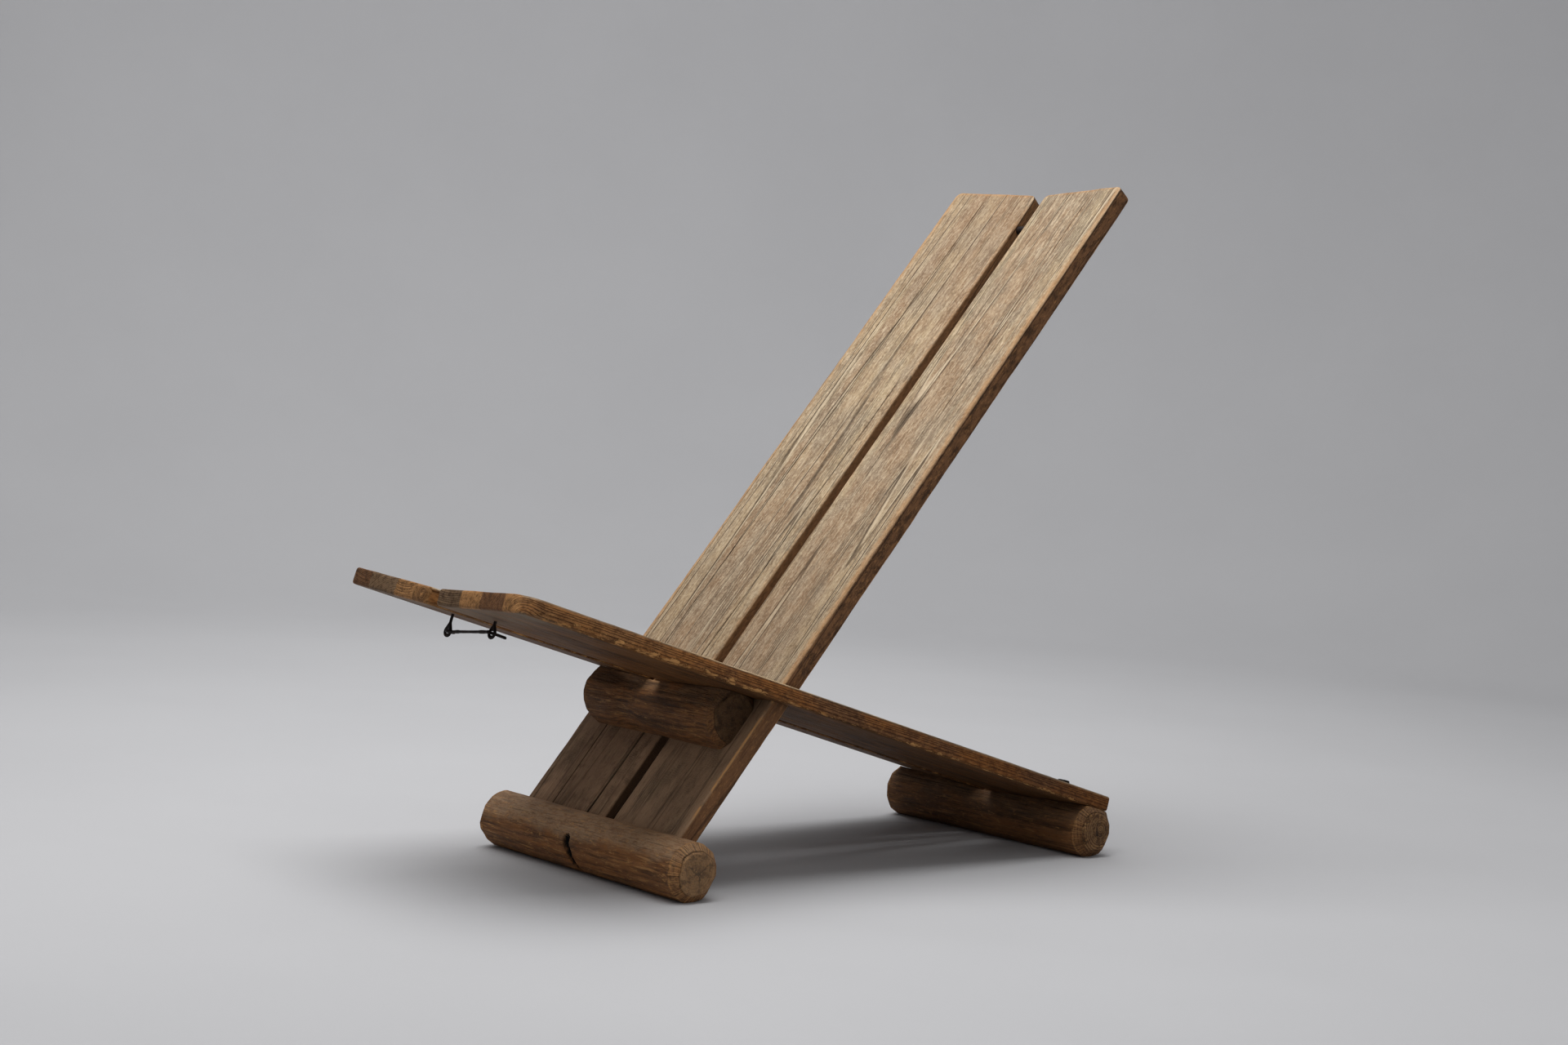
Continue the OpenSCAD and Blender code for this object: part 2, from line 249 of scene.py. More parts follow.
def back_plank_frame(side):
    return plank_frame(back_frame(), side, sizes().back_gap, sizes().back_vee)


# Mesh helpers


def ripple(x, y, z, seed):
    """Smooth noise from -1 to 1."""
    return noise.noise(Vector((x + 19.7 * seed, y - 7.3 * seed, z + 3.1 * seed)))


def swell(x, y, z, seed):
    """Smooth noise from 0 to 1."""
    return 0.5 + 0.5 * ripple(x, y, z, seed)


def clamp(value):
    return max(0.0, min(1.0, value))


def cut(bm, point, normal, clear=False):
    """Cuts every face with a plane. With clear, what lies along the normal goes, and the hole is
    closed."""
    made = bmesh.ops.bisect_plane(bm, geom=bm.verts[:] + bm.edges[:] + bm.faces[:], dist=TINY,
                                  plane_co=point, plane_no=normal, clear_outer=clear)
    if clear:
        rim = [e for e in made["geom_cut"] if isinstance(e, bmesh.types.BMEdge)]
        bmesh.ops.holes_fill(bm, edges=rim, sides=0)


def lattice(bm, axis, places):
    """Cuts every face across one axis at each place, so that the surface can be shaped."""
    normal = Vector((0, 0, 0))
    normal[axis] = 1
    for place in places:
        cut(bm, normal * place, normal)


def spread(start, end, step):
    """Places from start to end, both left out, about a step apart."""
    count = max(1, round((end - start) / step))
    return [start + (end - start) * i / count for i in range(1, count)]


def move_shape(bm, matrix):
    """Moves a closed shape, and keeps its faces outwards if the matrix mirrors it."""
    bm.transform(matrix)
    if matrix.determinant() < 0:
        bmesh.ops.reverse_faces(bm, faces=bm.faces)
    bm.normal_update()
    if bm.calc_volume(signed=True) <= 0:
        raise RuntimeError("a moved shape is inside out")


def block(low, high, matrix):
    """A closed box as a bmesh, from its two corners in the frame of a matrix."""
    bm = bmesh.new()
    size = Vector(high) - Vector(low)
    middle = (Vector(high) + Vector(low)) / 2
    bmesh.ops.create_cube(bm, size=1.0)
    move_shape(bm, matrix @ Matrix.Translation(middle) @ Matrix.Diagonal((*size, 1)))
    return bm


def linked_object(bm, name):
    """Turns a bmesh into an object of the scene, at the origin."""
    mesh = bpy.data.meshes.new(name)
    bm.to_mesh(mesh)
    bm.free()
    thing = bpy.data.objects.new(name, mesh)
    bpy.context.scene.collection.objects.link(thing)
    return thing


def applied(things):
    """A bmesh of the first scratch object with its modifiers applied. All of them are removed."""
    graph = bpy.context.evaluated_depsgraph_get()
    result = bmesh.new()
    result.from_mesh(things[0].evaluated_get(graph).to_mesh())
    for thing in things:
        mesh = thing.data
        bpy.data.objects.remove(thing)
        bpy.data.meshes.remove(mesh)
    return result


def carve(bm, cutters):
    """Takes closed shapes out of a bmesh, and gives back what is left."""
    before = bm.calc_volume(signed=True)
    body = linked_object(bm, "carved")
    tools = [linked_object(cutter, "cutter") for cutter in cutters]
    for tool in tools:
        modifier = body.modifiers.new("carve", "BOOLEAN")
        modifier.operation = "DIFFERENCE"
        modifier.solver = "EXACT"
        modifier.object = tool
    result = applied([body] + tools)
    bmesh.ops.remove_doubles(result, verts=result.verts, dist=TINY)
    if result.calc_volume(signed=True) > UNCARVED * before:
        raise RuntimeError("nothing was carved")
    return result


# Cells that the forged iron is fused in, and how often its skin is softened
FORGE_CELL = 0.00035
FORGE_PASSES = 3


def fuse(parts):
    """Joins closed shapes that overlap into one skin, with soft corners like forged work."""
    whole = bmesh.new()
    for part in parts:
        mesh = bpy.data.meshes.new("part")
        part.to_mesh(mesh)
        part.free()
        whole.from_mesh(mesh)
        bpy.data.meshes.remove(mesh)
    body = linked_object(whole, "fused")
    remesh = body.modifiers.new("remesh", "REMESH")
    remesh.mode = "VOXEL"
    remesh.voxel_size = FORGE_CELL
    result = applied([body])
    for _ in range(FORGE_PASSES):
        bmesh.ops.smooth_vert(result, verts=result.verts, factor=0.5, use_axis_x=True,
                              use_axis_y=True, use_axis_z=True)
    return result


def finish_piece(bm, name, body, nodes, material, matrix):
    """Turns a bmesh into a piece of the chair that rides on a body and stands for CAD nodes."""
    move_shape(bm, matrix)
    open_edges = [e for e in bm.edges if not e.is_manifold]
    if open_edges:
        raise RuntimeError(f"{name} has {len(open_edges)} open edges")
    piece = linked_object(bm, name)
    piece.data.shade_smooth()
    piece.data.set_sharp_from_angle(angle=SHARP)
    piece.data.materials.append(material)
    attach(piece, body)
    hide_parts(*nodes)
    return piece


# Planks

# Depth under a face in which a plank follows that face's hollows and ridges
SKIN = 0.004
HOLLOW_DEPTH = 0.0007
RIDGE_DEPTH = 0.0003
# How far the sides of a plank waver, and how deep into it
SIDE_WAVE = 0.0007
SIDE_REACH = 0.02
# Width of the band along an arris that is rubbed, and how deep the rub is at a plank's ends
RUB_REACH = 0.009
END_RUB = 0.0012
# Width of the band beside a crack that wanders with it, and the run in which a crack closes
CRACK_REACH = 0.014
CRACK_RUN = 0.04
# Ease of a slot's mouth, and how near its wall a point counts as on it
SLOT_EASE = 0.0008
ON_WALL = 1e-5


class Crack:
    """A long split in a plank's sitting face."""

    def __init__(self, start, end, width, depth, wander, seed, steady=False):
        self.start = start
        self.end = end
        self.width = width
        self.depth = depth
        self.wander = wander
        self.seed = seed
        self.steady = steady

    def middle(self, y):
        """The crack's straight line, before it wanders."""
        share = (y - self.start[1]) / (self.end[1] - self.start[1])
        return self.start[0] + share * (self.end[0] - self.start[0])

    def drift(self, y):
        return self.wander * ripple(0, y / 0.11, 0, self.seed)

    def strength(self, y):
        """How far the crack is open, from 0 at its ends to 1."""
        inside = min(y - self.start[1], self.end[1] - y)
        patchy = 1.0 if self.steady else 0.7 + 0.5 * ripple(0, y / 0.05, 5, self.seed)
        return clamp(inside / CRACK_RUN) * clamp(patchy)


class Plank:
    """What a plank is made from: its frame, sizes, corners and marks of wear."""

    def __init__(self, side, matrix, size, radii, step, cracks, rub, seed):
        self.side = side
        self.frame = matrix
        self.width, self.length, self.thick = size
        self.radii = radii
        self.step = step
        self.cracks = cracks
        self.rub = rub
        self.seed = seed


class Strip:
    """One glued strip of a seat plank: where it starts, its pith line and its tone."""

    def __init__(self, start, pith, tone):
        self.start = start
        self.pith = pith
        self.tone = tone


def plank_blank(plank, start):
    """A plank with rounded corners and eased edges, its sitting face on Z = 0."""
    bm = bmesh.new()
    w, l = plank.width, plank.length
    spots = ((0, start), (w, start), (w, start + l), (0, start + l))
    corners = [bm.verts.new((x, y, 0)) for x, y in spots]
    bm.faces.new(corners)
    for corner, radius in zip(corners, plank.radii):
        bmesh.ops.bevel(bm, geom=[corner], offset=radius, offset_type="OFFSET", segments=8,
                        profile=0.5, affect="VERTICES", material=-1)
    made = bmesh.ops.extrude_face_region(bm, geom=bm.faces[:])
    moved = [v for v in made["geom"] if isinstance(v, bmesh.types.BMVert)]
    bmesh.ops.translate(bm, verts=moved, vec=(0, 0, -plank.thick))
    bmesh.ops.recalc_face_normals(bm, faces=bm.faces)
    rims = [e for e in bm.edges if abs(e.verts[0].co.z - e.verts[1].co.z) < TINY]
    bmesh.ops.bevel(bm, geom=rims, offset=sizes().ease, offset_type="OFFSET", segments=3,
                    profile=0.5, affect="EDGES", material=-1)
    return bm


def plank_lattice(bm, plank, start):
    """Cuts a plank finely where it is worn or cracked, and coarsely elsewhere."""
    w, l, t = plank.width, plank.length, plank.thick
    ease = sizes().ease
    near = [ease * k for k in (1.8, 2.8)]
    lattice(bm, 1, spread(start, start + l, plank.step[1]))
    lattice(bm, 0, near + spread(near[-1], w - near[-1], plank.step[0]) + [w - n for n in near])
    lattice(bm, 2, [-ease * 1.9, -t / 2, ease * 1.9 - t])
    for crack in plank.cracks:
        run = Vector((crack.end[0] - crack.start[0], crack.end[1] - crack.start[1], 0))
        across = Vector((run.y, -run.x, 0)).normalized()
        for share in (-1, -0.5, 0, 0.5, 1):
            cut(bm, Vector((*crack.start, 0)) + across * (share * crack.width), across)


def rub(away, place, depth, seed, inwards):
    """How a point moves where an arris is rubbed: by how far away the arris is, and the place
    along it."""
    if away >= RUB_REACH:
        return Vector((0, 0, 0))
    broad = clamp(0.5 + 0.9 * ripple(place / 0.16, 0, 0, seed))
    fine = clamp(0.35 + 1.1 * ripple(place / 0.022, 3, 0, seed + 2))
    worn = depth * (0.45 * broad + 0.55 * broad * fine)
    return Vector(inwards) * (worn * (1 - away / RUB_REACH) ** 2)


def wear_plank(bm, plank, start):
    """Hollows, rubs and splits a plank, with nothing moved outwards, and marks the splits for the
    material."""
    w, l, t = plank.width, plank.length, plank.thick
    split = bm.verts.layers.float.new("split")
    long_arrises = [(0, 0), (w, 0), (w, -t), (0, -t)]
    for v in bm.verts:
        x, y, z = v.co
        move = Vector((0, 0, 0))
        face = clamp((z + SKIN) / SKIN)
        sole = clamp((-t + SKIN - z) / SKIN)
        # Hollows and ridges of the sawn faces
        hollow = swell(x / 0.045, y / 0.30, 0, plank.seed)
        ridge = swell(x / 0.011, y / 0.22, 2, plank.seed)
        sink = HOLLOW_DEPTH * hollow + RIDGE_DEPTH * ridge
        move.z -= face * sink
        move.z += sole * sink
        side = SIDE_WAVE * swell(y / 0.13, 4, 0, plank.seed)
        move.x += side * (clamp(1 - x / SIDE_REACH) - clamp(1 - (w - x) / SIDE_REACH))
        # Rubbed arrises
        for index, (ax, az) in enumerate(long_arrises):
            move += rub(math.hypot(x - ax, z - az), y, plank.rub[index], plank.seed + index,
                        (-1 if ax else 1, 0, 1 if az else -1))
        for ay in (start, start + l):
            for az in (0, -t):
                move += rub(math.hypot(y - ay, z - az), x, END_RUB, plank.seed + 7,
                            (0, 1 if ay == start else -1, 1 if az else -1))
        for crack in plank.cracks:
            off = x - crack.middle(y)
            if crack.start[1] < y < crack.end[1] and abs(off) < CRACK_REACH:
                move.x += crack.drift(y) * (1 - abs(off) / CRACK_REACH)
                if abs(off) < crack.width * 0.9 and face > 0.5:
                    open_share = crack.strength(y) * (1 - abs(off) / crack.width)
                    move.z -= crack.depth * open_share
                    v[split] = clamp(1.7 * open_share)
        v.co = v.co + move


def slot_cutter(side):
    """The room that the back plank needs in a seat plank, as a closed block."""
    s = sizes()
    low = (-s.back_gap, 0, -s.back_thick - s.slot_face)
    high = (s.back_width + s.slot_side, s.housing_floor + s.back_length, s.slot_face)
    return block(low, high, back_plank_frame(side))


def ease_slot(bm, side):
    """Takes the sharpness off the mouth of a seat plank's slot."""
    s = sizes()
    to_back = back_plank_frame(side).inverted() @ seat_plank_frame(side)
    high = s.slot_face
    low = -s.back_thick - s.slot_face
    outer = s.back_width + s.slot_side

    def on_wall(point):
        p = to_back @ point
        return min(abs(p.z - high), abs(p.z - low), abs(p.x - outer)) < ON_WALL

    rims = []
    for e in bm.edges:
        if len(e.link_faces) == 2 and e.calc_face_angle(0) > 0.5:
            if on_wall(e.verts[0].co) and on_wall(e.verts[1].co):
                rims.append(e)
    bmesh.ops.bevel(bm, geom=rims, offset=SLOT_EASE, offset_type="OFFSET", segments=2,
                    profile=0.5, affect="EDGES", material=-1)


def seat_plank_mesh(plank):
    bm = plank_blank(plank, 0.0)
    cutter = slot_cutter(plank.side)
    move_shape(cutter, seat_plank_frame(plank.side).inverted())
    bm = carve(bm, [cutter])
    ease_slot(bm, plank.side)
    plank_lattice(bm, plank, 0.0)
    wear_plank(bm, plank, 0.0)
    return bm


def back_plank_mesh(plank):
    start = sizes().housing_floor
    bm = plank_blank(plank, start)
    plank_lattice(bm, plank, start)
    wear_plank(bm, plank, start)
    return bm


# Logs

# Distance between the cuts across a log's ends
LOG_CELL = 0.007
# Lean of the hewn facets round a log's ends
FACET_LEAN = math.radians(45)
# Flats drawn down a log, and how deep
FLATS = 15
FLAT_BITE = 0.0007
# Height over the floor, and distance from a plank's flat, in which lumps begin
FLOOR_RUN = 0.012
FLAT_RUN = 0.006
# Depth of the rough skin on a log's end
END_SKIN = 0.004


class Gash:
    """A cut in a log's surface, along a curved path of X and degrees round the log."""

    def __init__(self, path, width, depth):
        self.path = path
        self.width = width
        self.depth = depth

    def at(self, degrees):
        """X of the path and how open it is, at an angle round the log."""
        for (x0, a0, open0), (x1, a1, open1) in zip(self.path, self.path[1:]):
            if a0 <= degrees <= a1:
                share = (degrees - a0) / (a1 - a0)
                return x0 + share * (x1 - x0), open0 + share * (open1 - open0)
        return None


def hew_end(bm, end, half, radius, chamfer, facets, seed):
    """Chops flat facets round one end of a log that lies along X."""
    for k in range(facets):
        jitter = ripple(k * 1.7, end, 0, seed)
        turn = math.tau * (k + 0.3 * jitter) / facets
        lean = FACET_LEAN + math.radians(6) * ripple(k * 1.3, end, 4, seed)
        normal = Vector((end * math.cos(lean), math.sin(lean) * math.cos(turn),
                         math.sin(lean) * math.sin(turn)))
        bite = chamfer * (1 + 0.28 * ripple(k * 2.1, end, 8, seed))
        out = radius - bite
        point = Vector((end * half, out * math.cos(turn), out * math.sin(turn)))
        cut(bm, point, normal, clear=True)


def hew_length(bm, radius, seed):
    """Draws long flats down a log that lies along X."""
    for k in range(FLATS):
        turn = math.tau * (k + 0.35 * ripple(k * 1.9, 2, 1, seed)) / FLATS
        lean = math.radians(0.35) * ripple(k * 2.3, 6, 1, seed)
        out = radius - FLAT_BITE * (0.75 + 0.5 * ripple(k * 2.9, 9, 1, seed))
        normal = Vector((math.sin(lean), math.cos(turn), math.sin(turn)))
        cut(bm, Vector((0, out * math.cos(turn), out * math.sin(turn))), normal, clear=True)


def log_blank(half, radius, chamfer, facets, seed):
    """A round log along X, with long flats and hewn ends."""
    bm = bmesh.new()
    along_x = Matrix.Rotation(math.radians(90), 4, "Y")
    bmesh.ops.create_cone(bm, cap_ends=True, cap_tris=False, segments=128, radius1=radius,
                          radius2=radius, depth=2 * half, matrix=along_x)
    hew_length(bm, radius, seed)
    for end in (LEFT, RIGHT):
        hew_end(bm, end, half, radius, chamfer, facets, seed)
    bmesh.ops.recalc_face_normals(bm, faces=bm.faces)
    return bm


def log_lattice(bm, half, radius, step, fine=()):
    """Cuts a log across its length, and its ends both ways."""
    lattice(bm, 0, sorted(spread(-half, half, step) + list(fine)))
    for axis in (1, 2):
        lattice(bm, axis, spread(-radius, radius, LOG_CELL))


def wear_log(bm, half, radius, lumps, end_rough, seed, keep, gash=None, waists=()):
    """Makes a log lumpy, its ends rough and its gash open. Nothing moves outwards, and a lump
    is as large as keep says of its place."""
    split = bm.verts.layers.float.new("split")
    for v in bm.verts:
        x, y, z = v.co
        away = Vector((0, y, z)).length
        if away < TINY:
            continue
        turn = math.atan2(z, y)
        skin = clamp((away - 0.72 * radius) / (0.1 * radius))
        kept = keep(v.co)
        lump = swell(x / 0.09, math.cos(turn) * 1.6, math.sin(turn) * 1.6, seed)
        tool = swell(x / 0.035, math.cos(turn) * 4.5, math.sin(turn) * 4.5, seed + 3)
        sink = skin * kept * (lumps * lump + 0.35 * lumps * tool)
        for middle, reach, depth in waists:
            sink += skin * kept * depth * math.exp(-(((x - middle) / reach) ** 2))
        near_end = clamp(1 - (half - abs(x)) / END_SKIN)
        if near_end > 0:
            rough = swell(y / 0.012, z / 0.012, x, seed + 5)
            v.co.x -= math.copysign(end_rough * rough * near_end, x)
        if gash:
            found = gash.at(math.degrees(turn) % 360)
            if found:
                off = abs(x - found[0])
                width = gash.width * found[1]
                if off < width:
                    share = clamp(2.2 * (1 - off / width))
                    sink += gash.depth * found[1] * share
                    v[split] = clamp(2.5 * share)
        scale = max(0.0, (away - sink) / away)
        v.co.y = y * scale
        v.co.z = z * scale


def bearer_axis():
    """The middle of the bearer's axis, from the planes of its flats and its box."""
    radius = sizes().bearer_diameter / 2
    return Vector((0, BEARER_LOW.y + radius, BEARER_LOW.z + radius))


def side_of(world):
    return RIGHT if world.x >= 0 else LEFT


def off_floor(point):
    """From 0 at the flat that a log stands on to 1 a little above it."""
    return clamp((point.z + front_axis().z) / FLOOR_RUN)


def above_sole(side, clear=0.0):
    """Everything above a seat plank's underside, or a clearance below it."""
    s = sizes()
    sole = -s.seat_thick - clear
    return block((-s.seat_gap / 2, -CUT_ALONG, sole), (CUT_ACROSS, CUT_ALONG, sole + CUT_DEPTH),
                 seat_plank_frame(side))


def below_sole(world, clear=0.0):
    """How far a point lies below the seat planks' undersides, or a clearance below them."""
    to_plank = seat_plank_frame(side_of(world)).inverted()
    return -sizes().seat_thick - clear - (to_plank @ world).z


def carve_log(bm, rooms, axis):
    """Takes rooms in the chair's frame out of a log that lies along X at an axis."""
    for room in rooms:
        move_shape(room, Matrix.Translation(-axis))
    return carve(bm, rooms)


# Shading

CRACK_SHADE = (0.012, 0.009, 0.007)
GASH_SHADE = (0.004, 0.003, 0.003)
CHECK_SHADE = (0.008, 0.006, 0.004)
PIT_SHADE = (0.008, 0.007, 0.006)
# Distance between growth rings, and between the saw marks across the back
BACK_RINGS = 0.0040
SEAT_RINGS = 0.0030
SEAT_END_RINGS = 0.0021
LOG_RINGS = 0.0034
SAW_PITCH = 0.0034
# Up a back plank, where the darker part under the seat, partly painted shade, ends and the bleached
# part begins
DARK_TO = 0.268
BLEACHED_FROM = 0.284


class Shade:
    """Builds the node tree of one material. Each call adds a node and gives back its output."""

    def __init__(self, name):
        self.material = bpy.data.materials.new(name)
        self.material.use_nodes = True
        self.tree = self.material.node_tree
        self.tree.nodes.clear()

    def node(self, kind, inputs=None, **settings):
        made = self.tree.nodes.new("ShaderNode" + kind)
        for key, value in settings.items():
            setattr(made, key, value)
        for key, value in (inputs or {}).items():
            socket = made.inputs[key]
            if isinstance(value, bpy.types.NodeSocket):
                self.tree.links.new(value, socket)
            else:
                socket.default_value = value
        return made

    def object_place(self):
        """A place on the object, in metres from its origin."""
        return self.node("TexCoord").outputs["Object"]

    def math(self, operation, a, b=0.0, c=0.0, clamped=False):
        made = self.node("Math", {0: a, 1: b, 2: c}, operation=operation, use_clamp=clamped)
        return made.outputs[0]

    def plus(self, a, b):
        return self.math("ADD", a, b)

    def minus(self, a, b):
        return self.math("SUBTRACT", a, b)

    def times(self, first, *others):
        for other in others:
            first = self.math("MULTIPLY", first, other)
        return first

    def larger(self, first, *others):
        for other in others:
            first = self.math("MAXIMUM", first, other)
        return first

    def scaled(self, value, scale, start):
        """A value times a scale, counted from a start."""
        return self.math("MULTIPLY_ADD", value, scale, start)

    def apart(self, a, b):
        """How far two values lie apart."""
        return self.math("ABSOLUTE", self.minus(a, b))

    def vector(self, operation, a, b=(0, 0, 0)):
        made = self.node("VectorMath", {0: a, 1: b}, operation=operation)
        return made.outputs["Value" if operation in ("LENGTH", "DOT_PRODUCT") else "Vector"]

    def fade(self, value, start, end, low=0.0, high=1.0):
        """Low before start, high after end, and smooth between them."""
        made = self.node("MapRange", {"Value": value, "From Min": start, "From Max": end,
                                      "To Min": low, "To Max": high},
                         interpolation_type="SMOOTHSTEP")
        return made.outputs["Result"]

    def pulse(self, value, start, top, end):
        """0 up to start and from end on, 1 at the top between them."""
        return self.times(self.fade(value, start, top), self.fade(value, end, top))

    def mix(self, share, a, b):
        """A tone between two: a at a share of 0, b at 1."""
        a, b = (tone if isinstance(tone, bpy.types.NodeSocket) else (*tone[:3], 1.0)
                for tone in (a, b))
        return self.node("Mix", {0: share, 6: a, 7: b}, data_type="RGBA").outputs[2]

    def wash(self, tone, *layers):
        """Lays tones over a tone, each as a value fades from a start to an end, up to a share."""
        for value, start, end, share, over in layers:
            tone = self.mix(self.fade(value, start, end, 0.0, share), tone, over)
        return tone

    def relief(self, *parts):
        """A height made of values, each with its own weight."""
        height = 0.0
        for value, weight in parts:
            height = self.scaled(value, weight, height)
        return height

    def noise(self, at, per_metre, seed, detail=3.0, roughness=0.55):
        """Noise with its own number of features a metre along each axis."""
        where = self.node("VectorMath", {0: at, 1: per_metre, 2: (seed, 1.7 * seed, -seed)},
                          operation="MULTIPLY_ADD").outputs["Vector"]
        made = self.node("TexNoise", {"Vector": where, "Scale": 1.0, "Detail": detail,
                                      "Roughness": roughness})
        return made.outputs["Fac"]

    def beat(self, value):
        """Noise along one line, with a feature for each unit of a value."""
        return self.node("TexNoise", {"W": value, "Scale": 1.0, "Detail": 2.0},
                         noise_dimensions="1D").outputs["Fac"]

    def attribute(self, name):
        return self.node("Attribute", attribute_name=name).outputs["Fac"]

    def finish(self, base, rough, height, depth, metal=0.0, sheen=0.22):
        bump = self.node("Bump", {"Height": height, "Distance": depth, "Strength": 1.0})
        shader = self.node("BsdfPrincipled", {"Base Color": base, "Roughness": rough,
                                              "Metallic": metal, "Specular IOR Level": sheen,
                                              "Normal": bump.outputs[0]})
        output = self.node("OutputMaterial")
        self.tree.links.new(shader.outputs[0], output.inputs["Surface"])
        return self.material


class WoodShade(Shade):
    """Shading of a piece of wood in the piece's own frame, with the grain along Y."""

    def __init__(self, name, matrix):
        super().__init__(name)
        turn = matrix.to_3x3()
        flip = -1.0 if turn.determinant() < 0 else 1.0
        turn = turn @ Matrix.Diagonal((flip, 1, 1))
        made = self.node("Mapping", {"Vector": self.object_place(), "Location": matrix.translation,
                                     "Rotation": turn.to_euler("XYZ"), "Scale": (flip, 1, 1)},
                         vector_type="TEXTURE")
        self.at = made.outputs["Vector"]
        self.place = self.node("SeparateXYZ", {0: self.at}).outputs

    def grain(self, across, along, seed, detail=3.0, roughness=0.55):
        """Noise with so many features a metre across the grain and along it."""
        return self.noise(self.at, (across, along, across), seed, detail, roughness)

    def ring_phase(self, pith, spacing, wander, seed, uneven=3.0):
        """How far a place lies between two growth rings round a pith line, from 0 to 1."""
        warp = self.node("VectorMath", {0: self.at, 1: (3.5, 1.3, 3.5), 2: (seed, seed, 0)},
                         operation="MULTIPLY_ADD").outputs["Vector"]
        drift = self.node("TexNoise", {"Vector": warp, "Scale": 1.0, "Detail": 2.5,
                                       "Roughness": 0.5}).outputs["Color"]
        drift = self.vector("SUBTRACT", drift, (0.5, 0.5, 0.5))
        drift = self.vector("MULTIPLY", drift, (wander, 0, wander))
        moved = self.vector("ADD", self.vector("SUBTRACT", self.at, pith), drift)
        radius = self.vector("LENGTH", self.vector("MULTIPLY", moved, (1, 0, 1)))
        years = self.beat(self.times(radius, 70.0))
        return self.math("FRACT", self.scaled(radius, 1 / spacing, self.times(years, uneven)))

    def rings(self, pith, spacing, wander, seed, sharp=0.5):
        """Growth rings round a pith line: 1 in the dark late wood."""
        return self.pulse(self.ring_phase(pith, spacing, wander, seed), 0.9 - sharp, 0.92, 1.0)

    def contour(self, across, along, seed, level, width):
        """A thin line that wanders along the longest features of a noise."""
        return self.fade(self.apart(self.grain(across, along, seed, 1.5, 0.4), level),
                         width, 0.35 * width)

    def near_arris(self, plank, start):
        """Distances from the nearest side, face and end of a plank."""
        x, y, z = self.place
        from_side = self.math("MINIMUM", self.math("ABSOLUTE", x), self.apart(x, plank.width))
        from_face = self.math("MINIMUM", self.math("ABSOLUTE", z), self.apart(z, -plank.thick))
        from_end = self.math("MINIMUM", self.apart(y, start), self.apart(y, start + plank.length))
        return from_side, from_face, from_end


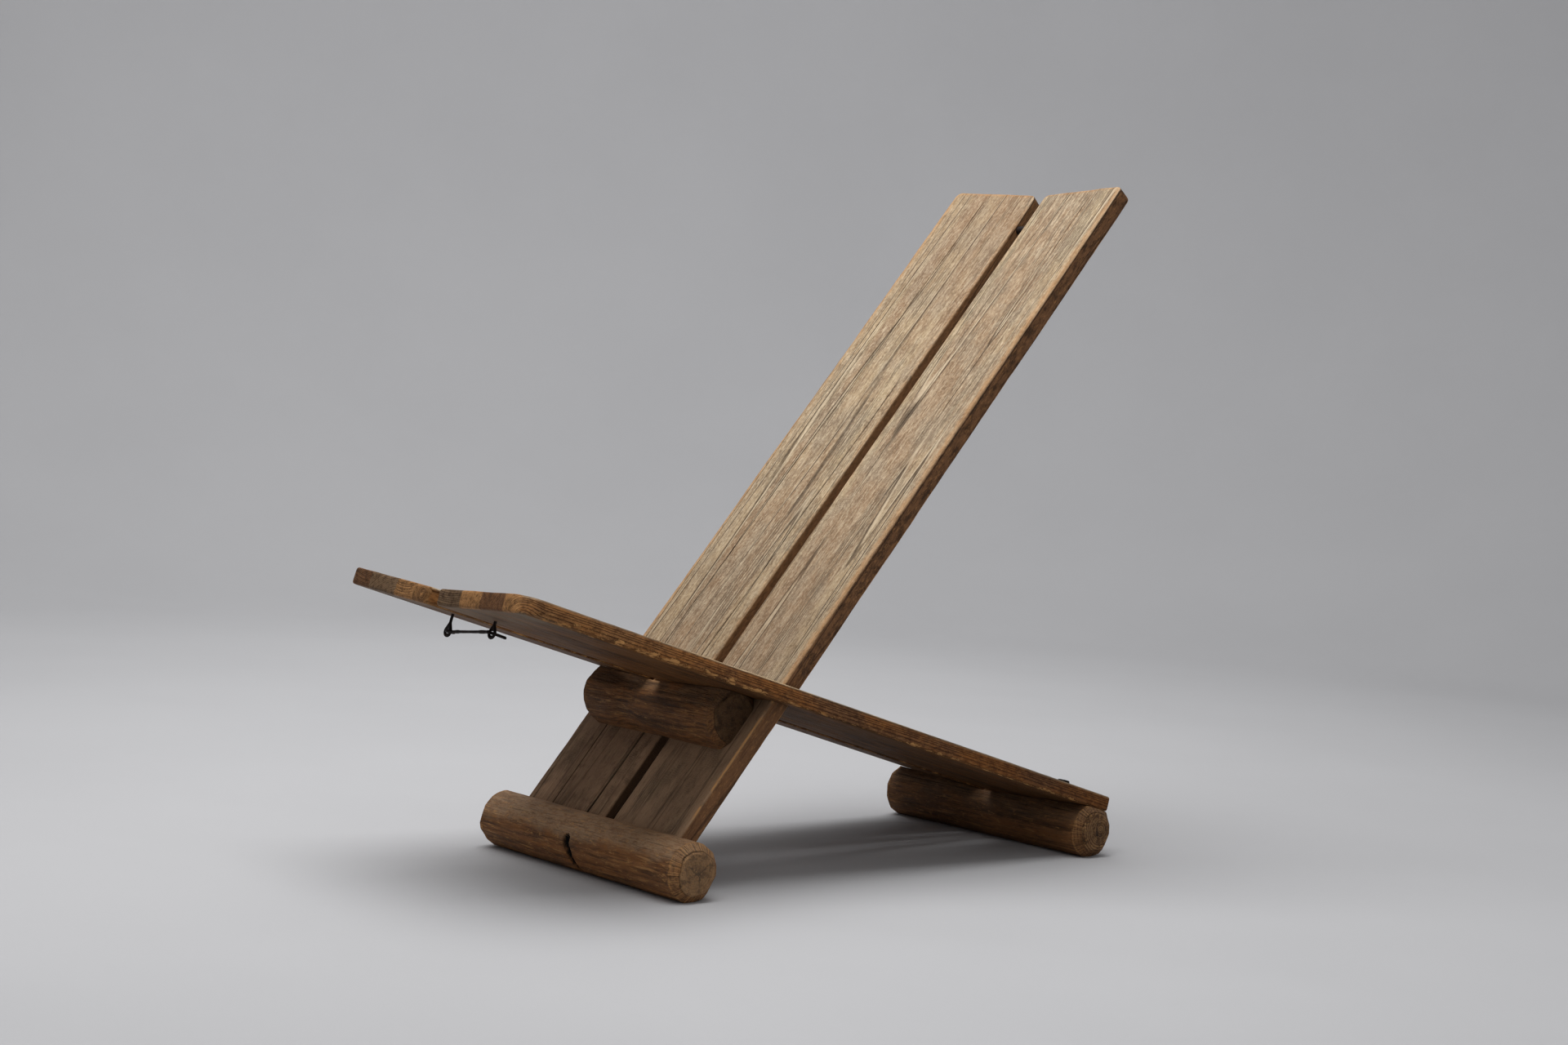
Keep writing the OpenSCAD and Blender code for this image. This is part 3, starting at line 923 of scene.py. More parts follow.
def back_plank_material(name, plank, pith, seed):
    """A bleached face with fine dark lines, brown sides, rubbed orange edges."""
    c = colours()
    sh = WoodShade(name, plank.frame)
    x, y, z = sh.place
    w = plank.width
    part = sh.ring_phase(pith, BACK_RINGS, 0.022, seed, uneven=1.2)
    valley = sh.pulse(part, 0.84, 0.94, 1.0)
    crest_highlight = sh.pulse(part, 0.62, 0.78, 0.88)
    grit = sh.grain(400, 120, seed, 3.0, 0.7)
    fibre = sh.grain(340, 26, seed + 1, 3.0, 0.65)
    streak = sh.grain(120, 9, seed + 3, 4.0, 0.65)
    cluster = sh.grain(38, 1.5, seed + 2, 2.0)
    zone = sh.grain(22, 0.8, seed + 5, 1.5)
    patch = sh.grain(21, 11, seed + 7, 5.0, 0.65)
    cloud = sh.grain(46, 22, seed + 8, 4.0, 0.7)
    mottle = sh.grain(130, 55, seed + 9, 5.0, 0.75)
    weave = sh.grain(300, 210, seed + 17, 3.0, 0.7)

    # The bleached sitting face: broad warm zones, a paler outer strip, and soft mottling
    zone = sh.plus(zone, sh.fade(x, 0.112, 0.128, 0.10, -0.12))
    face = sh.wash(
        c.tan,
        (zone, 0.40, 0.62, 1.0, c.warm),
        (patch, 0.42, 0.62, 0.55, c.grey),
        (cloud, 0.52, 0.66, 0.32, c.line),
        (cloud, 0.46, 0.34, 0.30, c.silver),
        (weave, 0.50, 0.68, 0.40, c.line),
        (weave, 0.48, 0.32, 0.45, c.silver),
        (mottle, 0.50, 0.68, 0.36, c.line),
        (mottle, 0.48, 0.32, 0.34, c.silver),
        (grit, 0.52, 0.68, 0.42, c.silver),
        (grit, 0.47, 0.32, 0.42, c.line),
        (fibre, 0.52, 0.66, 0.42, c.silver),
        (fibre, 0.47, 0.34, 0.48, c.line),
        (streak, 0.52, 0.64, 0.14, c.silver),
        (streak, 0.46, 0.36, 0.14, c.line))

    # Clusters of ridged lines, and single lines that wander, each with a painted highlight beside
    # it
    patchy = sh.fade(streak, 0.34, 0.50, 0.40, 1.0)

    def single_lines(near_level, near_width, far_level, far_width):
        """Lines where two noises cross a level each, strong and faint by turns."""
        near = sh.contour(21, 0.55, seed + 31, near_level, near_width)
        far = sh.contour(17, 0.45, seed + 37, far_level, far_width)
        return sh.times(sh.larger(near, far), patchy)

    lined = sh.times(sh.fade(cluster, 0.53, 0.61, 0.05, 0.85),
                     sh.fade(patch, 0.36, 0.50, 0.35, 1.0))
    valley = sh.larger(sh.times(valley, lined), single_lines(0.500, 0.0072, 0.480, 0.0058))
    crest_highlight = sh.larger(sh.times(crest_highlight, lined), single_lines(0.514, 0.0095, 0.491, 0.0076))
    # Painted highlight on each ridge, then its dark grain line, which is partly painted shade
    face = sh.mix(sh.times(crest_highlight, 0.60), face, c.silver)
    face = sh.mix(sh.times(valley, 0.70), face, c.umber)

    # Greyer and darker towards the seat, and the left plank browner at its top
    face = sh.wash(face, (sh.scaled(patch, 0.25, y), 0.80, 0.36, 0.36, c.line))
    if plank.side == LEFT:
        face = sh.wash(face, (y, 0.85, 1.12, 0.20, c.brown))

    # Saw marks across the grain
    wobble = sh.scaled(patch, 0.03, sh.scaled(mottle, 0.0016, y))
    saw_on = sh.times(sh.fade(mottle, 0.40, 0.56), sh.fade(patch, 0.46, 0.58),
                      sh.fade(y, 1.0, 0.6, 0.15, 1.0))
    saw = sh.times(sh.math("SINE", sh.times(wobble, math.tau / SAW_PITCH)), saw_on)
    face = sh.mix(sh.math("MULTIPLY_ADD", saw, 0.09, 0.02, clamped=True), face, c.line)

    # Sides and back, brown and less bleached, with painted light and shade on the side in the gap
    above_seat = sh.fade(sh.scaled(mottle, 0.02, y), DARK_TO, BLEACHED_FROM)
    blotch = sh.times(sh.fade(mottle, 0.42, 0.64, 0.0, 0.75), sh.scaled(above_seat, 0.7, 0.3))
    brown = sh.wash(sh.mix(blotch, c.brown, c.umber), (grit, 0.52, 0.68, 0.35, c.orange))
    brown = sh.mix(sh.times(valley, 0.5), brown, c.umber)
    brown = sh.wash(brown, (fibre, 0.5, 0.34, 0.4, c.umber))
    gap_side_light_shade = sh.fade(x, 0.0040, 0.0015)
    # Painted light on the side that faces the gap
    brown = sh.mix(sh.times(gap_side_light_shade, 0.25), brown, c.seat_pale)
    # Painted shade on that side under the seat
    brown = sh.mix(sh.times(gap_side_light_shade, sh.fade(y, 0.30, 0.26, 0.0, 0.8)), brown, c.umber)

    # Under the seat: unbleached wood, darker partly as painted shade
    below = sh.wash(
        c.below,
        (patch, 0.40, 0.66, 0.55, c.umber),
        (mottle, 0.50, 0.66, 0.40, c.umber),
        (fibre, 0.5, 0.68, 0.25, c.tan))
    below = sh.mix(sh.times(valley, 0.4), below, c.umber)
    below = sh.mix(0.13 if plank.side == RIGHT else 0.05, below, c.tan)

    on_face = sh.fade(z, -0.0046, -0.0016)
    base = sh.mix(on_face, brown, sh.mix(above_seat, below, face))

    # Rubbed edges, orange and pale
    from_side, from_face, from_end = sh.near_arris(plank, sizes().housing_floor)
    ragged = sh.scaled(mottle, 0.024, -0.012)
    rubbed = sh.larger(sh.fade(sh.plus(sh.minus(w, x), ragged), 0.012, 0.003),
                       sh.fade(sh.plus(x, ragged), 0.006, 0.001, 0.0, 0.6),
                       sh.fade(sh.plus(from_end, ragged), 0.009, 0.002))
    base = sh.mix(sh.times(rubbed, on_face, above_seat, 0.45), base, c.orange)

    # A pale line where the lower outer arris is worn through
    brow = sh.apart(from_side, from_face)
    scrape = sh.times(sh.fade(sh.plus(brow, sh.times(ragged, 0.12)), 0.0026, 0.0014),
                      sh.fade(sh.plus(from_side, from_face), 0.0095, 0.0075),
                      sh.fade(sh.grain(60, 26, seed + 41), 0.42, 0.52))
    front_scrape = sh.times(sh.fade(z, -0.008, -0.006), sh.fade(x, w - 0.01, w - 0.008),
                            sh.fade(y, 0.30, 0.27))
    scrape = sh.times(scrape, sh.larger(front_scrape, sh.fade(z, -0.008, -0.012)), 0.75)
    base = sh.mix(scrape, base, c.worn)
    base = sh.mix(sh.attribute("split"), base, CRACK_SHADE)

    height = sh.relief((crest_highlight, 0.8), (valley, -0.8), (grit, 0.8), (fibre, 0.6), (saw, 0.10),
                       (mottle, 1.0), (weave, 0.4), (streak, 0.4))
    rough = sh.fade(fibre, 0.3, 0.7, 0.62, 0.86)
    return sh.finish(base, rough, height, 0.0014, sheen=0.15)


def strip_piths(sh, x, strips):
    """The pith line of each glued strip of a plank, chosen by X."""
    pith = strips[0].pith
    for strip in strips[1:]:
        step = sh.math("GREATER_THAN", x, strip.start)
        pith = sh.node("Mix", {0: step, 4: pith, 5: strip.pith}, data_type="VECTOR").outputs[1]
    return pith


def seat_plank_material(name, plank, strips, seed):
    """Orange-brown edges with strong rings, a grey-brown underside and a weathered top."""
    c = colours()
    sh = WoodShade(name, plank.frame)
    x, y, z = sh.place
    w, t = plank.width, plank.thick
    mottle = sh.grain(120, 60, seed + 9, 5.0, 0.7)
    ragged_x = sh.scaled(mottle, 0.008, x)
    piths = strip_piths(sh, ragged_x, strips)
    rings = sh.rings(piths, SEAT_RINGS, 0.006, seed)
    end_rings = sh.rings(piths, SEAT_END_RINGS, 0.005, seed + 1, sharp=0.55)
    fibre = sh.grain(420, 26, seed, 3.0, 0.7)
    grit = sh.grain(380, 110, seed + 1, 3.0, 0.7)
    streak = sh.grain(90, 5, seed + 3, 4.0, 0.65)
    patch = sh.grain(20, 7, seed + 7, 5.0, 0.65)
    chip = sh.grain(170, 52, seed + 11, 6.0, 0.78)
    broad = sh.grain(9, 7, seed + 12, 2.0)
    pits = sh.grain(120, 34, seed + 21, 4.0, 0.7)

    # The edges: orange and lined near the front, darker towards the rear
    side = sh.wash(
        c.seat_side,
        (patch, 0.38, 0.62, 1.0, c.brown),
        (sh.scaled(patch, 0.24, y), 0.52, 0.20, 0.24, c.worn),
        (mottle, 0.46, 0.66, 0.60, c.seat_line))
    side = sh.mix(sh.times(rings, sh.fade(patch, 0.3, 0.6, 0.65, 0.95)), side, c.seat_line)
    side = sh.wash(
        side,
        (grit, 0.48, 0.32, 0.6, c.seat_line),
        (grit, 0.54, 0.70, 0.35, c.worn),
        (pits, 0.64, 0.69, 0.9, c.umber),
        (y, 0.55, 1.0, 0.36, c.seat_line))

    # The underside: greyed at the front, brown behind
    under = sh.wash(
        c.seat_under,
        (patch, 0.40, 0.66, 0.7, c.umber),
        (sh.scaled(patch, 0.10, y), 0.17, 0.07, 0.42, c.grey),
        (streak, 0.48, 0.64, 0.5, c.seat_side),
        (fibre, 0.50, 0.34, 0.4, c.umber))
    under = sh.mix(sh.times(rings, 0.35), under, c.umber)

    # The sitting face
    top = sh.wash(
        c.tan,
        (patch, 0.40, 0.60, 1.0, c.grey),
        (fibre, 0.52, 0.66, 0.5, c.silver),
        (mottle, 0.50, 0.66, 0.5, c.brown))
    top = sh.mix(sh.times(rings, 0.7), top, c.line)
    top = sh.wash(top, (streak, 0.52, 0.66, 0.5, c.line))

    # End grain, each strip in its own tone, with a knot in the left plank
    tone = getattr(c, strips[0].tone)
    for strip in strips[1:]:
        tone = sh.mix(sh.math("GREATER_THAN", ragged_x, strip.start), tone, getattr(c, strip.tone))
    end = sh.wash(
        tone,
        (mottle, 0.44, 0.66, 0.62, c.umber),
        (grit, 0.48, 0.34, 0.5, c.seat_line))
    end = sh.mix(sh.times(end_rings, 0.40), end, c.seat_line)
    if plank.side == LEFT:
        knot = sh.vector("LENGTH", sh.vector("SUBTRACT", sh.at, (0.013, 0, -0.013)))
        knot = sh.scaled(mottle, 0.016, knot)
        end = sh.wash(
            end,
            (knot, 0.026, 0.014, 0.55, c.seat_line),
            (knot, 0.011, 0.009, 0.80, c.orange))

    base = sh.mix(sh.fade(z, -0.0040, -0.0010), side, top)
    base = sh.mix(sh.fade(z, 0.0040 - t, 0.0010 - t), base, under)
    base = sh.mix(sh.fade(y, 0.007, 0.0035), base, end)

    # Arrises worn to pale wood, ragged along the grain
    from_side, from_face, from_end = sh.near_arris(plank, 0.0)
    long_arris = sh.plus(from_side, from_face)
    end_arris = sh.plus(from_end, from_face)
    outer_front = sh.times(sh.fade(y, 0.50, 0.30), sh.fade(x, w - 0.03, w - 0.02))
    often = sh.larger(sh.fade(broad, 0.40, 0.62, 0.25, 1.0), outer_front)
    low = sh.times(sh.fade(z, 0.008 - t, 0.014 - t, 1.0, 0.3), often)
    reach = sh.times(sh.fade(chip, 0.42, 0.66, 0.0, 0.013), low,
                     sh.scaled(outer_front, 0.58, 0.42))
    away = sh.math("MINIMUM", long_arris, sh.times(end_arris, 2.5))
    worn = sh.fade(sh.minus(away, reach), 0.0008, -0.0004)
    brow = sh.scaled(mottle, 0.004, sh.apart(from_side, from_face))
    thin = sh.times(sh.fade(brow, 0.0036, 0.0024), sh.fade(long_arris, 0.0095, 0.0075),
                    sh.fade(chip, 0.47, 0.53))
    worn = sh.larger(worn, sh.times(thin, sh.fade(z, 0.010 - t, 0.008 - t)))
    pale = sh.wash(c.worn, (fibre, 0.50, 0.70, 0.7, c.seat_side))
    base = sh.mix(sh.times(worn, 0.9), base, pale)
    base = sh.mix(sh.attribute("split"), base, CRACK_SHADE)

    height = sh.relief((fibre, 1.0), (rings, -0.8), (streak, 0.7), (mottle, 0.7), (worn, -0.6))
    rough = sh.fade(fibre, 0.3, 0.7, 0.50, 0.76)
    return sh.finish(base, rough, height, 0.0013, sheen=0.09)


def log_material(name, matrix, half, radius, pith, seed, stains=(), top_grey=0.8, end_dark=0.0,
                 end_painted_light=0.0, ring_share=0.30, shade=0.0, checks=(), figure=0.35):
    """Peeled log: lengthwise streaks, a greyed top, rough tan ends split by checks."""
    c = colours()
    sh = WoodShade(name, matrix @ Matrix.Rotation(math.radians(-90), 4, "Z"))
    x, y, z = sh.place
    rings = sh.rings(pith, LOG_RINGS, 0.007, seed)
    fibre = sh.grain(400, 22, seed, 3.0, 0.7)
    thread = sh.grain(260, 7, seed + 2, 2.0)
    streak = sh.grain(90, 5, seed + 3, 4.0, 0.65)
    scratch = sh.grain(240, 14, seed + 4, 4.0, 0.7)
    patch = sh.grain(26, 10, seed + 7, 5.0, 0.65)
    mottle = sh.grain(130, 62, seed + 9, 5.0, 0.75)
    scuff = sh.grain(230, 60, seed + 13, 5.0, 0.8)
    hollow = sh.grain(95, 60, seed + 15, 5.0, 0.75)

    # The peeled side and its greyed top
    base = sh.wash(
        c.log,
        (patch, 0.38, 0.62, 1.0, c.brown),
        (streak, 0.50, 0.66, 0.5, c.seat_side),
        (streak, 0.48, 0.34, 0.5, c.umber))
    base = sh.mix(sh.times(rings, figure), base, c.umber)
    base = sh.wash(
        base,
        (fibre, 0.48, 0.32, 0.7, c.umber),
        (fibre, 0.54, 0.70, 0.28, c.worn),
        (thread, 0.58, 0.66, 0.45, c.umber),
        (scratch, 0.55, 0.66, 0.55, c.worn))
    greyed = sh.wash(
        c.log_grey,
        (fibre, 0.50, 0.36, 0.40, c.umber),
        (mottle, 0.42, 0.66, 0.65, c.brown),
        (scratch, 0.58, 0.70, 0.55, c.tan))
    base = sh.wash(
        base,
        (sh.scaled(patch, 0.05, z), 0.75 * radius, 1.25 * radius, top_grey, greyed),
        (scuff, 0.55, 0.65, 0.66, c.worn),
        (scuff, 0.43, 0.33, 0.45, c.umber))

    # Rough ends with a dark middle
    end = sh.wash(
        c.log_end,
        (hollow, 0.44, 0.60, 0.85, c.umber),
        (mottle, 0.44, 0.62, 0.50, c.brown))
    end = sh.mix(sh.times(rings, ring_share), end, c.seat_line)
    out = sh.vector("LENGTH", sh.vector("MULTIPLY", sh.at, (1, 0, 1)))
    end = sh.wash(
        end,
        (fibre, 0.5, 0.7, 0.4, c.worn),
        (sh.scaled(hollow, 0.030, out), 0.044, 0.028, 0.30, c.umber))
    for turn, reach in checks:
        across = sh.vector("DOT_PRODUCT", sh.at, (math.sin(turn), 0, -math.cos(turn)))
        across = sh.math("ABSOLUTE", sh.plus(across, sh.scaled(hollow, 0.014, -0.007)))
        along = sh.vector("DOT_PRODUCT", sh.at, (math.cos(turn), 0, math.sin(turn)))
        split = sh.times(sh.fade(across, 0.0012, 0.0004, 0.0, 0.85),
                         sh.fade(along, reach, 0.6 * reach), sh.fade(along, -0.008, -0.004))
        end = sh.mix(split, end, CHECK_SHADE)
    end = sh.mix(end_dark, end, c.umber)
    # Painted light: the end paled towards grey where a log's end takes more light
    end = sh.mix(end_painted_light, end, c.log_grey)

    # Hewn chamfers: rubbed rims with a painted highlight, and an inner ring partly of painted shade
    from_end = sh.minus(half, sh.math("ABSOLUTE", y))
    on_end = sh.fade(sh.scaled(mottle, 0.002, from_end), 0.0056, 0.0040)
    rim = sh.fade(sh.scaled(mottle, 0.014, sh.apart(from_end, 0.0145)), 0.0098, 0.0052, 0.0, 0.60)
    inner_rim = sh.scaled(mottle, 0.008, sh.apart(from_end, 0.0035))
    base = sh.wash(base, (sh.scaled(mottle, 0.010, from_end), 0.020, 0.015, 0.25, end))
    # Painted highlight on the rubbed rim of the arris
    base = sh.mix(sh.times(rim, 1.0 - end_dark), base, c.worn)
    # Dark ring by the end face, partly painted shade
    base = sh.wash(base, (inner_rim, 0.0060, 0.0036, 0.7, c.umber))

    # Short cuts across the hewn chamfers, like the teeth of a comb
    comb = sh.beat(sh.scaled(mottle, 0.8, sh.times(sh.math("ARCTAN2", z, x), 15.0)))
    on_hewn = sh.times(sh.fade(from_end, 0.0190, 0.0150), 1.0 - end_dark, sh.minus(1.0, on_end))
    base = sh.mix(sh.times(sh.fade(comb, 0.50, 0.62, 0.0, 0.42), on_hewn), base, c.worn)
    base = sh.mix(sh.times(sh.fade(comb, 0.48, 0.38, 0.0, 0.45), on_hewn), base, c.umber)
    base = sh.mix(shade, base, c.umber)
    base = sh.mix(on_end, base, end)

    for middle, reach, tone, share in stains:
        off = sh.vector("DIVIDE", sh.vector("SUBTRACT", sh.at, middle), reach)
        off = sh.scaled(mottle, 0.8, sh.vector("LENGTH", off))
        base = sh.wash(base, (off, 1.5, 0.9, share, getattr(c, tone)))
    base = sh.mix(sh.attribute("split"), base, GASH_SHADE)

    height = sh.relief((fibre, 1.1), (rings, -0.6 * ring_share), (streak, 1.1), (mottle, 1.2),
                       (sh.times(hollow, on_end), -3.0), (sh.times(comb, on_hewn), 1.5))
    rough = sh.fade(fibre, 0.3, 0.7, 0.55, 0.82)
    return sh.finish(base, rough, height, 0.0015, sheen=0.16)


def iron_material(name):
    """Black iron with some rust, pitted all over."""
    c = colours()
    sh = Shade(name)
    at = sh.object_place()
    pits = sh.noise(at, (900, 900, 900), 1.0, 4.0, 0.6)
    cloud = sh.noise(at, (160, 160, 160), 3.0)
    base = sh.wash(c.iron, (cloud, 0.50, 0.72, 0.6, c.rust), (pits, 0.55, 0.40, 0.5, PIT_SHADE))
    rough = sh.fade(cloud, 0.35, 0.65, 0.52, 0.76)
    return sh.finish(base, rough, pits, 0.0003, metal=0.3, sheen=0.2)


def peg_material(name):
    """Plain wood, a little streaked and mottled."""
    c = colours()
    sh = Shade(name)
    at = sh.object_place()
    fibre = sh.noise(at, (500, 120, 120), 4.0)
    mottle = sh.noise(at, (260, 260, 260), 6.0, 4.0)
    base = sh.wash(c.log_end, (fibre, 0.4, 0.6, 1.0, c.brown), (mottle, 0.5, 0.7, 0.6, c.umber))
    return sh.finish(base, 0.8, fibre, 0.0005)


# The planks as pieces


class BackPlanks(bpy.types.Operator):
    """Build the two weathered planks of the back"""

    bl_idname = "plank_chair.back_planks"
    bl_label = "Back planks"

    def execute(self, context):
        s = sizes()
        size = (s.back_width, s.back_length, s.back_thick)
        radii = (s.small_corner, s.small_corner, s.back_corner, s.back_corner)
        left_cracks = (
            Crack((0.112, 0.26), (0.095, 1.226), 0.0012, 0.0028, 0.003, 3),
            Crack((0.037, -0.03), (0.032, 0.32), 0.0024, 0.0050, 0.0006, 8, steady=True),
            Crack((0.030, 0.24), (0.015, 0.86), 0.0013, 0.0030, 0.002, 15),
            Crack((0.109, -0.02), (0.113, 0.32), 0.0013, 0.0026, 0.001, 12, steady=True),
        )
        right_cracks = (
            Crack((0.107, 0.75), (0.107, 1.228), 0.0011, 0.0026, 0.002, 5),
            Crack((0.036, 0.60), (0.039, 1.20), 0.0009, 0.0020, 0.003, 6),
        )
        step = (0.004, 0.007)
        rub_depths = (0.0010, 0.0016, 0.0014, 0.0008)
        for side, word, cracks, pith, seed in (
                (LEFT, "left", left_cracks, (0.42, 0, -0.20), 2),
                (RIGHT, "right", right_cracks, (-0.22, 0, -0.16), 9)):
            plank = Plank(side, back_plank_frame(side), size, radii, step, cracks, rub_depths, seed)
            bm = back_plank_mesh(plank)
            material = back_plank_material("Back plank " + word, plank, pith, seed)
            finish_piece(bm, "back_plank_" + word + "_weathered", "back",
                         ["back_plank_" + word], material, plank.frame)
        return {"FINISHED"}


class SeatPlanks(bpy.types.Operator):
    """Build the two slotted planks of the seat"""

    bl_idname = "plank_chair.seat_planks"
    bl_label = "Seat planks"

    def execute(self, context):
        s = sizes()
        size = (s.seat_width, s.seat_length, s.seat_thick)
        left_strips = (Strip(0.000, (0.011, 0, -0.012), "seat_pale"),
                       Strip(0.039, (0.060, 0, 0.060), "seat_pale"),
                       Strip(0.080, (0.065, 0, -0.089), "seat_grey"),
                       Strip(0.145, (0.150, 0, 0.100), "brown"))
        right_strips = (Strip(0.000, (0.030, 0, 0.120), "seat_grey"),
                        Strip(0.056, (0.165, 0, -0.061), "seat_pale"),
                        Strip(0.100, (0.190, 0, -0.045), "brown"),
                        Strip(0.150, (0.180, 0, -0.025), "seat_pale"))
        step = (0.006, 0.004)
        for side, word, corner, strips, seed, low_rub in (
                (LEFT, "left", s.left_corner, left_strips, 4, 0.0012),
                (RIGHT, "right", s.right_corner, right_strips, 7, 0.0030)):
            radii = (s.small_corner, corner, s.small_corner, s.small_corner)
            cracks = (Crack((0.06, 0.50), (0.065, 1.118), 0.0010, 0.0024, 0.003, seed),)
            rub_depths = (0.0010, 0.0012, low_rub, 0.0010)
            plank = Plank(side, seat_plank_frame(side), size, radii, step, cracks, rub_depths, seed)
            bm = seat_plank_mesh(plank)
            material = seat_plank_material("Worn seat plank " + word, plank, strips, seed)
            finish_piece(bm, "seat_plank_" + word + "_worn", "seat",
                         ["seat_plank_" + word], material, plank.frame)
        return {"FINISHED"}


# The logs as pieces


def floor_log_blank(low, high, facets, seed):
    """A log with a flat to stand on, half its length and its radius, from its CAD box."""
    s = sizes()
    half = (high.x - low.x) / 2
    radius = s.log_diameter / 2
    bm = log_blank(half, radius, s.log_chamfer, facets, seed)
    cut(bm, Vector((0, 0, -front_axis().z)), Vector((0, 0, -1)), clear=True)
    return bm, half, radius


def front_log():
    """Build the log under the back, with its housings and a gash."""
    s = sizes()
    fit = s.housing_fit
    bm, half, radius = floor_log_blank(FRONT_LOG_LOW, FRONT_LOG_HIGH, 13, 3)
    low = (-fit, s.housing_floor, -s.back_thick - fit)
    high = (s.back_width + fit, s.housing_floor + s.log_diameter, fit)
    housings = [block(low, high, back_plank_frame(side)) for side in (LEFT, RIGHT)]
    bm = carve_log(bm, housings, front_axis())
    log_lattice(bm, half, radius, 0.006, fine=spread(-0.022, 0.018, 0.0012))
    gash = Gash(((-0.009, 156, 0.0), (-0.010, 163, 1.0), (-0.012, 172, 1.0), (-0.006, 188, 1.0),
                 (-0.003, 205, 0.95), (0.003, 226, 0.75), (0.007, 240, 0.0)), 0.0074, 0.0080)
    wear_log(bm, half, radius, 0.0016, 0.0022, 5, off_floor, gash=gash)
    place = Matrix.Translation(front_axis())
    checks = ((math.radians(35), 0.024), (math.radians(150), 0.028), (math.radians(262), 0.022))
    material = log_material("Front log", place, half, radius, (0.006, 0, 0.004), 5.0,
                            checks=checks, end_painted_light=0.22)
    finish_piece(bm, "front_log_hewn", "back", ["front_log"], material, place)


def rear_log():
    """Build the log under the rear of the seat, with its V flats."""
    bm, half, radius = floor_log_blank(REAR_LOG_LOW, REAR_LOG_HIGH, 12, 8)
    bm = carve_log(bm, [above_sole(side) for side in (LEFT, RIGHT)], rear_axis())
    log_lattice(bm, half, radius, 0.006)
    place = Matrix.Translation(rear_axis())

    def clear_of_flats(point):
        return off_floor(point) * clamp(below_sole(place @ point) / FLAT_RUN)

    wear_log(bm, half, radius, 0.0014, 0.0016, 9, clear_of_flats)
    checks = ((math.radians(84), 0.016), (math.radians(262), 0.018))
    material = log_material("Rear log", place, half, radius, (-0.007, 0, 0.003), 15.0,
                            top_grey=0.35, ring_share=0.75, shade=0.38, checks=checks)
    finish_piece(bm, "rear_log_hewn", "seat", ["rear_log"], material, place)


def bearer_log():
    """Build the log across the back planks that the seat rests on."""
    s = sizes()
    radius = s.bearer_diameter / 2
    half = (BEARER_HIGH.x - BEARER_LOW.x) / 2
    bm = log_blank(half, radius, s.bearer_chamfer, 16, 12)
    rooms = []
    for side in (LEFT, RIGHT):
        behind = block((-s.back_gap / 2, -CUT_ALONG, -CUT_DEPTH), (CUT_ACROSS, CUT_ALONG, 0.0),
                       back_plank_frame(side))
        rooms += [above_sole(side, s.rest_clear), behind]
    bm = carve_log(bm, rooms, bearer_axis())
    log_lattice(bm, half, radius, 0.005)
    place = Matrix.Translation(bearer_axis())

    def clear_of_flats(point):
        world = place @ point
        ahead = (back_plank_frame(side_of(world)).inverted() @ world).z
        return clamp(below_sole(world, s.rest_clear) / FLAT_RUN) * clamp(ahead / FLAT_RUN)

    waists = ((-0.050, 0.026, 0.0042), (0.118, 0.030, 0.0025))
    wear_log(bm, half, radius, 0.0026, 0.0012, 14, clear_of_flats, waists=waists)
    stains = (((0.038, 0.030, 0.010), (0.020, 0.070, 0.0075), "umber", 0.62),
              ((0.030, -0.095, 0.026), (0.020, 0.045, 0.010), "umber", 0.60),
              ((0.026, 0.050, 0.034), (0.016, 0.020, 0.008), "seat_side", 0.45))
    material = log_material("Bearer log", place, half, radius, (0.01, 0, -0.02), 25.0, stains,
                            top_grey=0.3, end_dark=0.76, ring_share=0.1, shade=0.38, figure=0.50)
    finish_piece(bm, "bearer_log_hewn", "back", ["bearer_log"], material, place)


class FloorLogs(bpy.types.Operator):
    """Build the two hewn logs that stand on the floor"""

    bl_idname = "plank_chair.floor_logs"
    bl_label = "Floor logs"

    def execute(self, context):
        front_log()
        rear_log()
        return {"FINISHED"}


class BearerLog(bpy.types.Operator):
    """Build the bearer log that carries the seat on the back"""

    bl_idname = "plank_chair.bearer_log"
    bl_label = "Bearer log"

    def execute(self, context):
        bearer_log()
        return {"FINISHED"}


# The iron as pieces

# Sides of round iron, and steps round a ring of it
ROUND = 20
RING_STEPS = 48


def plank_under(x):
    """Height of a seat plank's underside at a distance from the middle, in the seat's frame."""
    s = sizes()
    level = x - s.seat_gap / 2 - s.seat_thick * math.sin(s.seat_vee)
    return level * math.tan(s.seat_vee) - s.seat_thick * math.cos(s.seat_vee)


def tube(points, radii):
    """A closed round tube through points, as thick at each as its radius."""
    bm = bmesh.new()
    spots = [Vector(p) for p in points]
    loops = []
    side = (spots[1] - spots[0]).orthogonal().normalized()
    for k, spot in enumerate(spots):
        ahead = (spots[min(k + 1, len(spots) - 1)] - spots[max(k - 1, 0)]).normalized()
        side = (side - ahead * side.dot(ahead)).normalized()
        up = ahead.cross(side)
        ring = [bm.verts.new(spot + radii[k] * (side * math.cos(a) + up * math.sin(a)))
                for a in (math.tau * i / ROUND for i in range(ROUND))]
        bm.faces.new(ring)
        loops.append([bm.edges.get((a, b)) for a, b in zip(ring, ring[1:] + ring[:1])])
        if len(loops) > 1:
            bmesh.ops.bridge_loops(bm, edges=loops[-2] + loops[-1])
    inner = [f for f in bm.faces if len(f.verts) > 4][1:-1]
    bmesh.ops.delete(bm, geom=inner, context="FACES_ONLY")
    bmesh.ops.recalc_face_normals(bm, faces=bm.faces)
    return bm


